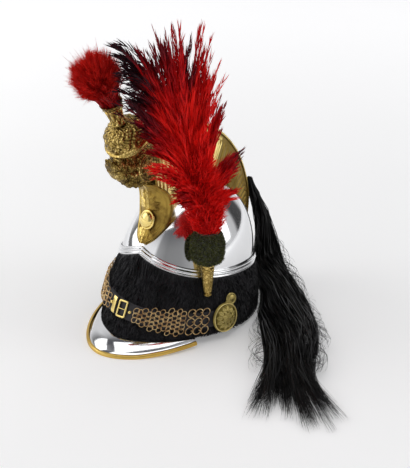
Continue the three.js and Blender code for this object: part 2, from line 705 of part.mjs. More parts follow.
function chinStrap() {
  const half = () => STRAP.halfWidth;
  const flat = () => STRAP.gap;
  const raised = (angle) => STRAP.gap + overTongue(angle);
  add("strap_left", turbanBand(STRAP.left, 20, 1, flat, STRAP.thick, half), LEATHER);
  add("strap_right", turbanBand(STRAP.right, 16, 1, raised, STRAP.thick, half), LEATHER);
  const mailHalf = (angle) =>
    lerp(MAIL.buckleHalf, MAIL.rosetteHalf, clamp((Math.abs(angle) - 12) / 34, 0, 1));
  const over = (angle) => raised(angle) + STRAP.thick + MAIL.gap;
  const overLeft = () => STRAP.gap + STRAP.thick + MAIL.gap;
  add("mail_left", turbanBand(MAIL.left, 12, 3, overLeft, MAIL.thick, mailHalf), BRASS);
  add("mail_right", turbanBand(MAIL.right, 12, 3, over, MAIL.thick, mailHalf), BRASS);
  const clamped = (angle) => raised(angle) + STRAP.thick + GAP;
  const chapeHalf = () => STRAP.halfWidth - CHAPE.inset;
  add("buckle_chape", turbanBand(CHAPE.span, 1, 1, clamped, CHAPE.thick, chapeHalf), BRASS);
}

function buckle() {
  const { width: w, height: h, bar: b } = BUCKLE;
  const frame = new THREE.Shape([[-w, -h], [w, -h], [w, h], [-w, h]].map(([x, y]) =>
    new THREE.Vector2(x / 2, y / 2)));
  frame.holes.push(new THREE.Path([[-w + 2 * b, -h + 2 * b], [-w + 2 * b, h - 2 * b],
    [w - 2 * b, h - 2 * b], [w - 2 * b, -h + 2 * b]].map(([x, y]) => new THREE.Vector2(x / 2, y / 2))));
  const solid = new THREE.ExtrudeGeometry(frame, { depth: BUCKLE.thick, bevelEnabled: false });
  const mesh = add("buckle_frame", fromSolid(toSolid(solid)), BRASS);
  const angle = radians(BUCKLE.angle);
  const z = strapZ(BUCKLE.angle);
  mesh.quaternion.setFromUnitVectors(point(0, 0, 1), faceOut(angle, z));
  mesh.position.copy(onTurban(angle, z, STRAP.gap + STRAP.thick + 2 * GAP));
}

// The way out of the turban's face at an angle and height.
function faceOut(angle, z) {
  const side = onTurban(angle + 0.03, z, 0).sub(onTurban(angle - 0.03, z, 0));
  const up = onTurban(angle, z + 4, 0).sub(onTurban(angle, z - 4, 0));
  return side.cross(up).normalize();
}

function stud(name, degrees, lift) {
  const angle = radians(degrees);
  const { radius: r, height: h } = STUD;
  const head = [[0, 0], [r, 0], [r, 0.36 * h], [0.7 * r, 0.82 * h], [0, h]];
  const mesh = add(name, turned(head, 10), BRASS);
  mesh.quaternion.setFromUnitVectors(point(0, 1, 0), faceOut(angle, strapZ(degrees)));
  mesh.position.copy(onTurban(angle, strapZ(degrees), lift));
}

// A rosette: a domed boss with a raised border, and the ear that pins it to the helmet.
function rosette(name, side, z) {
  const r = ROSETTE.radius;
  const boss = new THREE.LatheGeometry([[0, 0], [r, 0], [r, 2.6], [r - 1.5, 4], [r - 3.5, 3.2],
    [r * 0.55, 6], [r * 0.3, 8], [0, ROSETTE.crown]].map((p) => new THREE.Vector2(...p)), 16);
  const ear = new THREE.CylinderGeometry(EAR.radius, EAR.radius, EAR.thick, 12);
  ear.translate(EAR.reach, EAR.thick / 2, 0);
  const neck = new THREE.BoxGeometry(EAR.reach, EAR.neckThick, EAR.neckWidth);
  neck.translate(EAR.reach / 2, EAR.neckThick / 2, 0);
  const mesh = add(name, fused([boss, ear, neck]), BRASS);
  const angle = side * radians(ROSETTE.angle);
  const out = faceOut(angle, z);
  const toEar = point(0, EAR.towardY, EAR.towardZ);
  toEar.addScaledVector(out, -toEar.dot(out)).normalize();
  const basis = new THREE.Matrix4().makeBasis(toEar, out, new THREE.Vector3().crossVectors(toEar, out));
  mesh.quaternion.setFromRotationMatrix(basis);
  mesh.position.copy(onTurban(angle, z, STRAP.gap + STRAP.thick + 2 * GAP));
}

// The mane: long locks fused along one body, from the crest's back end down to the floor.
function mane() {
  const locks = MANE_TIPS.map((tip) => {
    const rows = MANE_LINE.map((row, k) => {
      const next = MANE_LINE[Math.min(k + 1, MANE_LINE.length - 1)];
      const prior = MANE_LINE[Math.max(k - 1, 0)];
      const across = point(-(next.y - prior.y), next.x - prior.x, 0).normalize().negate();
      const spread = tip.side * row.width * 0.62;
      const rise = (tip.lift - 0.5) * row.depth * 0.7;
      return point(row.x, row.y, row.z + rise).addScaledVector(across, spread);
    });
    rows.push(point(tip.x, tip.y, 4));
    const path = new THREE.CatmullRomCurve3(rows, false, "centripetal");
    const size = (t) => {
      const row = alongTable(MANE_LINE, ["width", "depth", "z"], Math.min(t * 1.12, 1));
      const taper = t > 0.75 ? ((1 - t) / 0.25) ** 0.6 : 1;
      return [1.5 + 0.42 * row.x * taper, 1.5 + 0.5 * row.y * taper];
    };
    return lock((t) => path.getPoint(t), 6, 5, size);
  });
  const core = lock((t) => alongTable(MANE_LINE, ["x", "y", "z"], t), 8, 6, (t) => {
    const row = alongTable(MANE_LINE, ["width", "depth", "z"], t);
    return [0.86 * row.x, 0.95 * row.y];
  });
  add("mane", fused([core, ...locks]), HAIR);
}

skull();
moulding();
turban();
visor();
visorRim();
crestFlank("crest_left", 1);
crestFlank("crest_right", -1);
crestSpine();
frontPlate();
frontBoss();
prow();
bulb();
tulip();
tuft();
plumeSocket();
plumeOlive();
plume();
chinStrap();
buckle();
stud("stud_left", STUD.leftAngle, STRAP.gap + STRAP.thick + GAP);
stud("stud_right", STUD.rightAngle, 2 * (STRAP.gap + STRAP.thick) + GAP);
rosette("rosette_left", 1, ROSETTE.leftZ);
rosette("rosette_right", -1, ROSETTE.rightZ);
mane();

// The origin is on the floor, under the middle of the whole thing.
const extent = new THREE.Box3().setFromObject(helmet, true);
const middle = extent.getCenter(point(0, 0, 0));
helmet.position.set(-middle.x, -middle.y, -extent.min.z);

export default helmet;
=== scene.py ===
import bpy
import numpy as np
from mathutils import Matrix, Vector


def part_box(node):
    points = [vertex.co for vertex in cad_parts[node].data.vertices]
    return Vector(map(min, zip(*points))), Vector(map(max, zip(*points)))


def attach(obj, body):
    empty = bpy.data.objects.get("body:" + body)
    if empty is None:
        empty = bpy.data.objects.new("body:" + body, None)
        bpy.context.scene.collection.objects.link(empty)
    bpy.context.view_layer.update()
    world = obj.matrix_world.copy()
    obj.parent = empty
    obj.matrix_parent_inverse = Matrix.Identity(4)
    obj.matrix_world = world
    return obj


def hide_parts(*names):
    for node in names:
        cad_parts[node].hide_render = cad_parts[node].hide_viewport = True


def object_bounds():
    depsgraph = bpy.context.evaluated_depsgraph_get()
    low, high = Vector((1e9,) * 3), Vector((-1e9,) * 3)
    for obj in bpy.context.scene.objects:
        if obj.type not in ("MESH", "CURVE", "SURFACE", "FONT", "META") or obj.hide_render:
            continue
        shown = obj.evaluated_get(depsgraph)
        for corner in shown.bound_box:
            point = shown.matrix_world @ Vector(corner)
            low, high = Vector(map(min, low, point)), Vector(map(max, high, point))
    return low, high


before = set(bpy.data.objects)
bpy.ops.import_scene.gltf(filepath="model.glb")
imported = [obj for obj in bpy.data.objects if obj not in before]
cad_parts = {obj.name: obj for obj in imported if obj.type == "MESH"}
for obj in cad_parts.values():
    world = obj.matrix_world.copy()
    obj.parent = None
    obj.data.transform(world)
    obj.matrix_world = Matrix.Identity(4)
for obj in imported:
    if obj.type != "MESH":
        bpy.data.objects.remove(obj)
frame_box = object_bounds()

# Place on the floor: the helmet's own middle, found from the skull's node.
# The skull's skirt reaches its front edge this far ahead of the helmet's middle.
SKIRT_FRONT = 0.157
skull_low, skull_high = (np.array(corner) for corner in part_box("skull"))
HELMET = np.array([(skull_low[0] + skull_high[0]) / 2, skull_low[1] + SKIRT_FRONT, 0.0])

# Camera: a long lens a little above the table, at the wearer's front left, for a 410 x 468 picture.
# The focal length is held in picture heights, so it doesn't depend on the render's size.
PICTURE_HEIGHT, FOCAL_PIXELS, SENSOR_HEIGHT = 468, 1040, 24
CAMERA_AZIMUTH, CAMERA_ELEVATION, CAMERA_DISTANCE = np.radians(40), np.radians(24.5), 1.64
AIM_SIDE, AIM_HEIGHT = 0.0283, 0.127

back = np.array([
    np.sin(CAMERA_AZIMUTH) * np.cos(CAMERA_ELEVATION),
    -np.cos(CAMERA_AZIMUTH) * np.cos(CAMERA_ELEVATION),
    np.sin(CAMERA_ELEVATION),
])
sideways = np.array([np.cos(CAMERA_AZIMUTH), np.sin(CAMERA_AZIMUTH), 0.0])
aim = HELMET + sideways * AIM_SIDE + np.array([0, 0, AIM_HEIGHT])
lens = bpy.data.cameras.new("camera")
lens.sensor_fit = "VERTICAL"
lens.sensor_height = SENSOR_HEIGHT
lens.lens = SENSOR_HEIGHT * FOCAL_PIXELS / PICTURE_HEIGHT
camera = bpy.data.objects.new("camera", lens)
camera.matrix_world = Matrix.Translation(aim + back * CAMERA_DISTANCE) @ Matrix(
    np.column_stack([sideways, np.cross(back, sideways), back])).to_4x4()
bpy.context.scene.collection.objects.link(camera)
bpy.context.scene.camera = camera


# Floor and light: a white paper table and three large soft boxes over a pale room.
# The boxes and the room's panels are what the polished steel shows as its white and grey bands.
FLOOR_REACH = 9.0
FLOOR_GLOW_NEAR, FLOOR_GLOW_FAR = (0.17, 0.17, 0.17, 1), (0.50, 0.50, 0.505, 1)
SOFT_BOXES = (
    {"name": "left_box", "place": (-2.4, -1.3, 1.6), "size": (2.4, 2.4), "power": 26},
    {"name": "top_box", "place": (0.3, -0.4, 3.0), "size": (3.0, 2.4), "power": 34},
    {"name": "right_box", "place": (2.6, 1.6, 1.4), "size": (1.4, 2.2), "power": 17},
)
# Degrees round the room from behind the lens, and how white the wall is there.
ROOM_PANELS = (
    (-180, 0.8), (-140, 0.75), (-128, 0.2), (-104, 0.14), (-96, 0.9), (-46, 1.0), (-40, 0.4), (-18, 0.26),
    (16, 0.28), (52, 0.5), (84, 0.6), (104, 0.62), (110, 0.06), (130, 0.08), (138, 0.75), (180, 0.8))
CEILING, CEILING_FROM, CEILING_TO = (0.10, 0.10, 0.11, 1), 0.45, 0.95


class Socket:
    """A shader socket that takes part in ordinary arithmetic."""

    def __init__(self, sheet, end):
        self.sheet = sheet
        self.end = end

    def node(self, kind, settings=None, inputs=None, output=0):
        """A new node: its settings first, then the values or links of its sockets."""
        made = self.sheet.nodes.new(kind)
        for key, value in (settings or {}).items():
            if key == "stops":
                ramp = made.color_ramp
                while len(ramp.elements) < len(value):
                    ramp.elements.new(1)
                for element, (where, colour) in zip(ramp.elements, value):
                    element.position = where
                    element.color = (*colour, 1)
            else:
                setattr(made, key, value)
        for key, value in (inputs or {}).items():
            if isinstance(value, Socket):
                self.sheet.links.new(value.end, made.inputs[key])
            else:
                made.inputs[key].default_value = value
        return Socket(self.sheet, made.outputs[output])

    def maths(self, operation, *values):
        return self.node("ShaderNodeMath", {"operation": operation}, dict(enumerate(values)))

    def __add__(self, other):
        return self.maths("ADD", self, other)

    def __sub__(self, other):
        return self.maths("SUBTRACT", self, other)

    def __rsub__(self, other):
        return self.maths("SUBTRACT", other, self)

    def __mul__(self, other):
        return self.maths("MULTIPLY", self, other)

    __radd__ = __add__
    __rmul__ = __mul__

    def between(self, low, high):
        """0 below low, 1 above high, smooth between them."""
        return self.node("ShaderNodeMapRange", {"interpolation_type": "SMOOTHSTEP"},
                         {"Value": self, "From Min": low, "From Max": high})

    def ramp(self, *stops):
        return self.node("ShaderNodeValToRGB", {"stops": stops}, {"Fac": self})

    def mixed(self, first, second):
        """A colour mix by this factor."""
        return self.node("ShaderNodeMix", {"data_type": "RGBA"}, {"Factor": self, 6: first, 7: second}, 2)


def finish(name, **constants):
    """A new material: its start socket for textures, and a function that joins sockets to its shader."""
    material = bpy.data.materials.new(name)
    material.use_nodes = True
    sheet = material.node_tree
    shader = sheet.nodes["Principled BSDF"]
    for key, value in constants.items():
        shader.inputs[key.replace("_", " ")].default_value = value

    def wire(**sockets):
        for key, socket in sockets.items():
            sheet.links.new(socket.end, shader.inputs[key.replace("_", " ")])
        return material

    coordinates = sheet.nodes.new("ShaderNodeTexCoord")
    return Socket(sheet, coordinates.outputs["Object"]), wire


def noise(place, scale, detail=3.0, stretch=(1, 1, 1)):
    stretched = place.node("ShaderNodeMapping", None, {"Vector": place, "Scale": stretch})
    return place.node("ShaderNodeTexNoise", None, {"Vector": stretched, "Scale": scale, "Detail": detail})


def new_mesh(name, shape, material, node=None, slot=None, sharp=None):
    """One piece from corners and groups of faces, on the root body, in place of its node."""
    corners, faces = shape
    mesh = bpy.data.meshes.new(name)
    corners = np.asarray(corners, np.float32).reshape(-1, 3)
    groups = [np.asarray(group, np.int32) for group in (faces if isinstance(faces, tuple) else (faces,))]
    sizes = np.concatenate([np.full(len(group), group.shape[1]) for group in groups])
    loops = np.concatenate([group.ravel() for group in groups])
    mesh.vertices.add(len(corners))
    mesh.vertices.foreach_set("co", corners.ravel())
    mesh.loops.add(len(loops))
    mesh.loops.foreach_set("vertex_index", loops)
    mesh.polygons.add(len(sizes))
    mesh.polygons.foreach_set("loop_start", (np.cumsum(sizes) - sizes).astype(np.int32))
    mesh.update(calc_edges=True)
    mesh.validate()
    mesh.materials.append(material)
    mesh.shade_smooth()
    if sharp:
        mesh.set_sharp_from_angle(angle=np.radians(sharp))
    piece = bpy.data.objects.new(name, mesh)
    bpy.context.scene.collection.objects.link(piece)
    if slot:
        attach(piece, "root")
    if node:
        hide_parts(node)
    return piece


paper, wire = finish("paper", Roughness=0.9, Specular_IOR_Level=0.1, Emission_Strength=1.0)
mottle = noise(paper, 3).ramp((0, (0.9, 0.9, 0.9)), (1, (0.93, 0.93, 0.93)))
far = paper.node("ShaderNodeVectorMath", {"operation": "LENGTH"}, {0: paper}, 1)
floor_corners = [(x * FLOOR_REACH, y * FLOOR_REACH, 0) for x, y in ((-1, -1), (1, -1), (1, 1), (-1, 1))]
floor = new_mesh("floor", (floor_corners, np.array([(0, 1, 2, 3)])), wire(
    Base_Color=mottle, Emission_Color=far.between(0.2, 2.6).mixed(FLOOR_GLOW_NEAR, FLOOR_GLOW_FAR)))

room = bpy.data.worlds.new("room")
bpy.context.scene.world = room
room.use_nodes = True
sky = room.node_tree.nodes["Background"]
ways = Socket(room.node_tree, room.node_tree.nodes.new("ShaderNodeTexCoord").outputs["Generated"])


def along_way(direction):
    """How much of each way out into the room lies along one direction."""
    return ways.node("ShaderNodeVectorMath", {"operation": "DOT_PRODUCT"}, {0: ways, 1: tuple(direction)}, 1)


wall_turn = ways.maths("ARCTAN2", along_way(sideways), along_way((back[0], back[1], 0)))
panels = (wall_turn * (0.5 / np.pi) + 0.5).ramp(*[
    (0.5 + degrees / 360, (grey, grey, grey * 1.01)) for degrees, grey in ROOM_PANELS])
glow = along_way((0, 0, 1)).between(CEILING_FROM, CEILING_TO).mixed(panels, CEILING)
room.node_tree.links.new(glow.end, sky.inputs["Color"])
sky.inputs["Strength"].default_value = 1.0

for box in SOFT_BOXES:
    lamp = bpy.data.lights.new(box["name"], "AREA")
    lamp.shape = "RECTANGLE"
    lamp.size, lamp.size_y = box["size"]
    lamp.energy = box["power"]
    holder = bpy.data.objects.new(box["name"], lamp)
    spot = HELMET + np.array(box["place"])
    holder.location = spot
    holder.rotation_euler = (Vector(HELMET + [0, 0, 0.2]) - Vector(spot)).to_track_quat("-Z", "Y").to_euler()
    bpy.context.scene.collection.objects.link(holder)
bpy.context.scene.view_settings.view_transform = "Standard"


# Skull: a bomb raised from one sheet of steel, 1.5 mm thick, polished to a mirror.
# It leans back over the floor and runs down as a skirt inside the fur.
SKULL_LENGTH, SKULL_WIDTH, SKULL_HEIGHT = 0.120, 0.095, 0.134
SKULL_BASE, SKULL_WALL = 0.086, 0.0015
LEAN = np.radians(8.6)
SKIRT = {"middle": -0.019, "front": 0.138, "back": 0.129, "side": 0.103}
SKIRT_FRONT_POWER, SKIRT_BACK_POWER = 1.76, 2.1
BASE_DROP, BASE_PIVOT, BASE_RUN = 0.0196, 0.070, 0.240
SKULL_COLUMNS, SKIRT_ROWS, DOME_ROWS = 144, 8, 60


def circle(steps):
    """Angles round a full turn, in even steps."""
    return np.linspace(0, 2 * np.pi, steps, endpoint=False)


def stack(x, y, z):
    return np.stack(np.broadcast_arrays(x, y, z), -1)


def leaning(x, y, z):
    """From the skull's own leaning frame to the table's, in metres."""
    return HELMET + stack(x, y * np.cos(LEAN) + z * np.sin(LEAN),
                          SKULL_BASE - y * np.sin(LEAN) + z * np.cos(LEAN))


def power(value, exponent):
    return np.sign(value) * np.abs(value) ** exponent


def dome_point(angle, rise, out):
    n = 1.95 - 0.25 * np.cos(angle)
    up = np.sin(np.clip(rise, 0, 1) * np.pi / 2)
    reach = np.clip(1 - up ** n, 0, 1) ** (1 / n)
    return leaning((SKULL_WIDTH + out) * reach * np.sin(angle),
                   -(SKULL_LENGTH + out) * reach * np.cos(angle), (SKULL_HEIGHT + out) * up)


def base_point(angle, out):
    """The skirt's floor edge, which drops toward the front."""
    ahead = np.cos(angle) > 0
    length = np.where(ahead, SKIRT["front"], SKIRT["back"]) + out
    n = np.where(ahead, SKIRT_FRONT_POWER, SKIRT_BACK_POWER)
    y = SKIRT["middle"] - length * power(np.cos(angle), 2 / n)
    z = BASE_DROP * np.maximum(0, (BASE_PIVOT - y) / BASE_RUN)
    return HELMET + stack((SKIRT["side"] + out) * power(np.sin(angle), 2 / n), y, z)


def bomb(angle, h, out):
    """The steel body's face: h from 0 at the floor edge to 1 at the brow, then 2 at the top."""
    angle, h, out = np.broadcast_arrays(angle, h, out)
    share = np.clip(h, 0, 1)[..., None]
    low = base_point(angle, out) * (1 - share) + dome_point(angle, 0, out) * share
    return np.where((h > 1)[..., None], dome_point(angle, h - 1, out), low)


def grid_faces(rows, columns, ring_rows=False, ring_columns=False):
    """Four-sided faces over a grid of corners, closed on itself where a ring is asked for."""
    i, j = np.meshgrid(np.arange(rows if ring_rows else rows - 1),
                       np.arange(columns if ring_columns else columns - 1), indexing="ij")
    n, m = (i + 1) % rows, (j + 1) % columns
    corners = [i * columns + j, n * columns + j, n * columns + m, i * columns + m]
    return np.stack(corners, -1).reshape(-1, 4)


def sheet_mesh(outer, inner, ring=False):
    """Corners and faces of a wall between two grids of points, joined round its edges."""
    rows, columns = outer.shape[:2]
    loop = np.concatenate([outer, inner[:, ::-1]], axis=1)
    width = loop.shape[1]
    faces = grid_faces(rows, width, ring_rows=ring, ring_columns=True)
    if not ring:
        j = np.arange(columns - 1)
        first = np.stack([j, j + 1, width - 2 - j, width - 1 - j], -1)
        last = first[:, ::-1] + (rows - 1) * width
        faces = np.concatenate([faces, first, last])
    return loop, faces


def bumped(height, strength, depth):
    return height.node("ShaderNodeBump", None, {"Height": height, "Strength": strength, "Distance": depth})


around = circle(SKULL_COLUMNS)[:, None]
heights = np.concatenate([np.linspace(0, 1, SKIRT_ROWS), 1 + np.linspace(0, 1, DOME_ROWS)[1:]])[None, :]
steel, wire = finish("polished_steel", Base_Color=(0.78, 0.785, 0.8, 1), Metallic=1.0)
brushed = noise(steel, 60, 4, (1, 1, 0.04))
scuffs = noise(steel, 14, 5)
polish = 0.08 + 0.12 * noise(steel, 4, 2).between(0.35, 0.75) * brushed.between(0.3, 0.75) \
    + 0.06 * scuffs.between(0.55, 0.8)
steel_finish = wire(
    Base_Color=scuffs.ramp((0, (0.66, 0.665, 0.68)), (0.6, (0.8, 0.805, 0.815)), (1, (0.84, 0.845, 0.85))),
    Roughness=polish, Normal=bumped(brushed, 0.12, 0.0006))
new_mesh("skull_steel", sheet_mesh(bomb(around, heights, 0), bomb(around, heights, -SKULL_WALL), ring=True),
         steel_finish, "skull", "steel", sharp=40)


# Brow moulding: a rolled steel band with three ribs, riveted round the skull.
# It rises to a point over the wearer's brow.
MOULDING_BACK, MOULDING_CUSP, CUSP_POWER = 0.008, 0.028, 1.2
MOULDING_COLUMNS, MOULDING_HALF, MOULDING_ROWS = 220, 0.006, 33
MOULDING_OUT, MOULDING_SEAT = 0.0028, 0.0012
# Where each rib lies on the band, its height off the band and its half width.
RIBS = ((0.0004, 0.0020, 0.0017), (-0.0043, 0.0012, 0.0010), (0.0047, 0.0010, 0.0009))


def height_to_h(z):
    return 1 + np.arcsin(np.clip(z / SKULL_HEIGHT, 0, 1)) / (np.pi / 2)


def moulding_height(angle):
    ahead = np.where(np.cos(angle) > 0, np.abs(1 - np.abs(np.sin(angle))) ** CUSP_POWER, 0)
    return MOULDING_BACK + MOULDING_CUSP * ahead


def hump(x, centre, width):
    """A smooth swelling, 1 at its centre."""
    return np.exp(-((x - centre) / width) ** 2)


rib_up = np.linspace(-MOULDING_HALF, MOULDING_HALF, MOULDING_ROWS)[None, :]
rib_out = MOULDING_OUT + sum(rise * hump(rib_up, centre, width) for centre, rise, width in RIBS)
angles = circle(MOULDING_COLUMNS)[:, None]
rib_h = height_to_h(moulding_height(angles) + rib_up)
moulding = sheet_mesh(bomb(angles, rib_h, rib_out), bomb(angles, rib_h, MOULDING_SEAT), ring=True)
new_mesh("brow_moulding_steel", moulding, steel_finish, "brow_moulding", "steel", sharp=50)


# Turban: a band of short black fur on a backing, wider at the foot than under the moulding.
# The backing is a soft wall, and the fur is many short tapered hairs laid down over it.
FUR_THICK_BASE, FUR_THICK_TOP, FUR_BULGE = 0.010, 0.0042, 0.003
FUR_TOP_GAP, FUR_DEPTH, BACKING_SEAT, BACKING_ROWS = 0.0063, 0.0035, 0.0009, 14
FUR_HAIRS, FUR_WIDTHS, FUR_FLOOR = 22000, (0.0011, 0.0009, 0.0001), 0.0004


def fur_top(angle):
    return height_to_h(moulding_height(angle) - FUR_TOP_GAP)


def turban_face(angle, k, extra=0.0):
    """The fur's outer face, k from 0 at the base to 1 under the moulding."""
    thick = FUR_THICK_BASE * (1 - k) + FUR_THICK_TOP * k + FUR_BULGE * np.sin(np.pi * k)
    return bomb(angle, k * fur_top(angle), thick + extra)


def unit(vectors):
    return vectors / (np.linalg.norm(vectors, axis=-1, keepdims=True) + 1e-12)


def ribbons(paths, widths, rng):
    """Corners and faces of thin pointed ribbons: paths is strands x points x 3."""
    strands, points = paths.shape[:2]
    flat = np.broadcast_to(rng.normal(size=(strands, 1, 3)), paths.shape)
    across = unit(np.cross(unit(np.gradient(paths, axis=1)), flat))
    edge = across * np.broadcast_to(widths, (strands, points))[..., None] / 2
    j = np.arange(points - 1)
    quad = np.stack([2 * j, 2 * j + 1, 2 * j + 3, 2 * j + 2], -1)
    faces = quad[None] + (np.arange(strands) * 2 * points)[:, None, None]
    return np.stack([paths - edge, paths + edge], axis=2), faces.reshape(-1, 4)


fur, wire = finish("black_fur", Roughness=0.5, Sheen_Weight=0.05, Specular_IOR_Level=0.3)
fur_finish = wire(Base_Color=noise(fur, 40, 3).ramp(
    (0.35, (0.002, 0.002, 0.003)), (0.65, (0.014, 0.013, 0.016))))
backing_rows = np.linspace(0, 1, BACKING_ROWS)[None, :]
new_mesh("turban_backing", sheet_mesh(turban_face(around, backing_rows, -FUR_DEPTH),
                                      bomb(around, backing_rows * fur_top(around), BACKING_SEAT), ring=True),
         fur_finish, "turban", "fur", sharp=60)
rng = np.random.default_rng(3)
fur_angle = rng.uniform(0, 2 * np.pi, FUR_HAIRS)
fur_k = rng.uniform(0.01, 1.0, FUR_HAIRS)
drop = rng.uniform(0.05, 0.11, FUR_HAIRS) * np.clip(fur_k / 0.06, 0.3, 1)
swirl = 0.03 * np.sin(9 * fur_angle + 7 * fur_k) + rng.normal(0, 0.015, FUR_HAIRS)
root = turban_face(fur_angle, fur_k, -FUR_DEPTH)
middle = turban_face(fur_angle + swirl * 0.5, np.maximum(fur_k - 0.4 * drop, 0.0), -FUR_DEPTH * 0.25)
tip = turban_face(fur_angle + swirl, np.maximum(fur_k - drop, 0.0), rng.uniform(-0.0008, 0.0008, FUR_HAIRS))
tip[:, 2] = np.maximum(tip[:, 2], FUR_FLOOR)
new_mesh("turban_fur", ribbons(np.stack([root, middle, tip], 1), FUR_WIDTHS, rng), fur_finish, "turban", "fur")


# Peak: a sloping plate of polished steel riveted under the turban, edged with rolled brass.
# Its edging is planar underneath, because the helmet stands on it.
PEAK_FRONT, PEAK_SIDE, PEAK_MIDDLE, PEAK_POWER = 0.187, 0.1135, -0.0147, 1.86
PEAK_ANGLE, PEAK_COLUMNS, PEAK_ROWS, EDGING_COLUMNS = np.radians(63), 121, 16, 161
PEAK_DROP, PEAK_BELLY, EDGE_IN, EDGE_LOW = 0.0018, 0.36, 0.002, 0.00225
FLANGE_WIDTH, FLANGE_SHARE, FLANGE_SLOPE = 0.006, 0.62, 0.4
RIM_FLAT, RIM_RISE, RIM_END = 0.050, 0.0065, 0.105
# The edging's section in mm: out from the rim, and up from the floor.
CHANNEL = (
    (0.8, 0.2), (0.9, 1.0), (0.9, 3.4), (0.6, 4.4), (0, 5.1), (-1, 5.6), (-2, 5.9), (-3, 6.0), (-3.3, 5.5),
    (-3.2, 5.0), (-2.2, 4.6), (-1.5, 4.2), (-1.4, 1.7), (-3.4, 2.3), (-4, 1.4), (-4, 0), (0.3, 0))
STEP = 0.01


def rim_line(angle):
    x = PEAK_SIDE * power(np.sin(angle), 2 / PEAK_POWER)
    y = PEAK_MIDDLE - PEAK_FRONT * np.cos(angle) ** (2 / PEAK_POWER)
    past = np.maximum(0, np.abs(x) - RIM_FLAT) / (RIM_END - RIM_FLAT)
    return HELMET + stack(x, y, RIM_RISE * past ** 1.5)


def from_rim(angle, out, up):
    along = rim_line(angle + STEP) - rim_line(angle - STEP)
    outward = unit(stack(along[..., 1], -along[..., 0], 0))
    return rim_line(angle) + outward * np.asarray(out)[..., None] + stack(0, 0, up)


def facing_angle(rim):
    """The angle round the turban's foot that faces each place on the rim, by halving."""
    low, high = np.full(len(rim), -1.6), np.full(len(rim), 1.6)
    for _ in range(30):
        angle = (low + high) / 2
        along = base_point(angle + STEP, FUR_THICK_BASE) - base_point(angle - STEP, FUR_THICK_BASE)
        ahead = ((rim - base_point(angle, FUR_THICK_BASE)) * along).sum(-1) > 0
        low, high = np.where(ahead, angle, low), np.where(ahead, high, angle)
    return low


def bar_mesh(rings):
    """A solid bar from rings of points: its side faces, and one many-sided face at each end."""
    rows, sides = rings.shape[:2]
    ends = np.stack([np.arange(sides)[::-1], np.arange(sides) + (rows - 1) * sides])
    return rings, (grid_faces(rows, sides, ring_columns=True), ends)


peak = np.linspace(-PEAK_ANGLE, PEAK_ANGLE, PEAK_COLUMNS)
seat = facing_angle(rim_line(peak))
hidden = base_point(seat, -SKULL_WALL) - [0, 0, PEAK_DROP]
junction = base_point(seat, FUR_THICK_BASE) - [0, 0, PEAK_DROP]
room_left = np.linalg.norm((junction - rim_line(peak))[:, :2], axis=1)
flange_width = np.minimum(FLANGE_WIDTH, FLANGE_SHARE * room_left)
flange = from_rim(peak, -flange_width, EDGE_LOW + (flange_width - EDGE_IN) * FLANGE_SLOPE)
belly = [junction * (1 - s) + flange * s + stack(0, 0, PEAK_BELLY * s * (1 - s) * room_left)
         for s in np.linspace(0, 1, PEAK_ROWS)[1:-1]]
under = np.stack([hidden, junction, *belly, flange, from_rim(peak, -EDGE_IN, EDGE_LOW)], 1)
new_mesh("peak_steel", sheet_mesh(under + [0, 0, SKULL_WALL], under), steel_finish, "visor", "steel", sharp=40)

peak_fine = np.linspace(-PEAK_ANGLE, PEAK_ANGLE, EDGING_COLUMNS)
edging = np.stack([from_rim(peak_fine, out / 1000, up / 1000) for out, up in CHANNEL], 1)
brass, wire = finish("worn_brass", Metallic=1.0)
wear = noise(brass, 90, 4)
brass_tone = noise(brass, 18, 3).between(0.35, 0.7).mixed((0.58, 0.37, 0.08, 1), (0.76, 0.52, 0.14, 1))
brass_finish = wire(Base_Color=wear.between(0.62, 0.8).mixed(brass_tone, (0.42, 0.27, 0.09, 1)),
                    Roughness=0.2 + 0.25 * wear, Normal=bumped(wear, 0.15, 0.0005))
new_mesh("peak_edging", bar_mesh(edging), brass_finish, "visor_rim", "brass", sharp=45)


# Crest: two pressed brass flanks with slanting flutes over a strip of leaf scrolls.
# Each flank stands on the skull, and a beaded ridge closes the two along the top.
# Its top edge in the skull's frame: degrees up from the front, and millimetres from the base centre.
CREST_TOP = ((61, 228), (67, 234), (76, 232), (94, 217), (112, 199), (135, 177), (149, 166), (162, 153))
CREST_FOOT_HALF, CREST_HEAD_HALF, CREST_WALL, CREST_SEAT = 0.014, 0.005, 0.0015, 0.002
CREST_FOOT_START, CREST_HEAD_START, CREST_END = 40, 61, 160
CREST_COLUMNS, CREST_ROWS, CREST_TUCK = 390, 30, 0.0035
FLUTES, FLUTE_RELIEF, SCROLLS = 30, 0.0022, 26
RIDGE_HALF, RIDGE_SEAT, RIDGE_SIDES = 0.0065, 0.003, 15
RIDGE_BEADS, BEAD_STEPS, BEAD_HEIGHT = 54, 8, 0.0013


def polar(x, angle, reach):
    """A place in the crest's plane: an angle in degrees up from the front, and a reach in metres."""
    return leaning(x, -reach * np.cos(np.radians(angle)), reach * np.sin(np.radians(angle)))


def skull_reach(x, angle):
    """How far the skull's surface lies from its base centre, by halving."""
    n = np.where(angle < np.pi / 2, 1.7, 2.2)
    low, high = np.full_like(angle, 0.06), np.full_like(angle, 0.20)
    for _ in range(30):
        reach = (low + high) / 2
        flat = np.hypot(x / SKULL_WIDTH, reach * np.cos(angle) / SKULL_LENGTH)
        outside = flat ** n + (np.maximum(0, reach * np.sin(angle)) / SKULL_HEIGHT) ** n > 1
        low, high = np.where(outside, low, reach), np.where(outside, reach, high)
    return low


def crest_top(angle):
    return np.interp(angle, *zip(*CREST_TOP)) / 1000


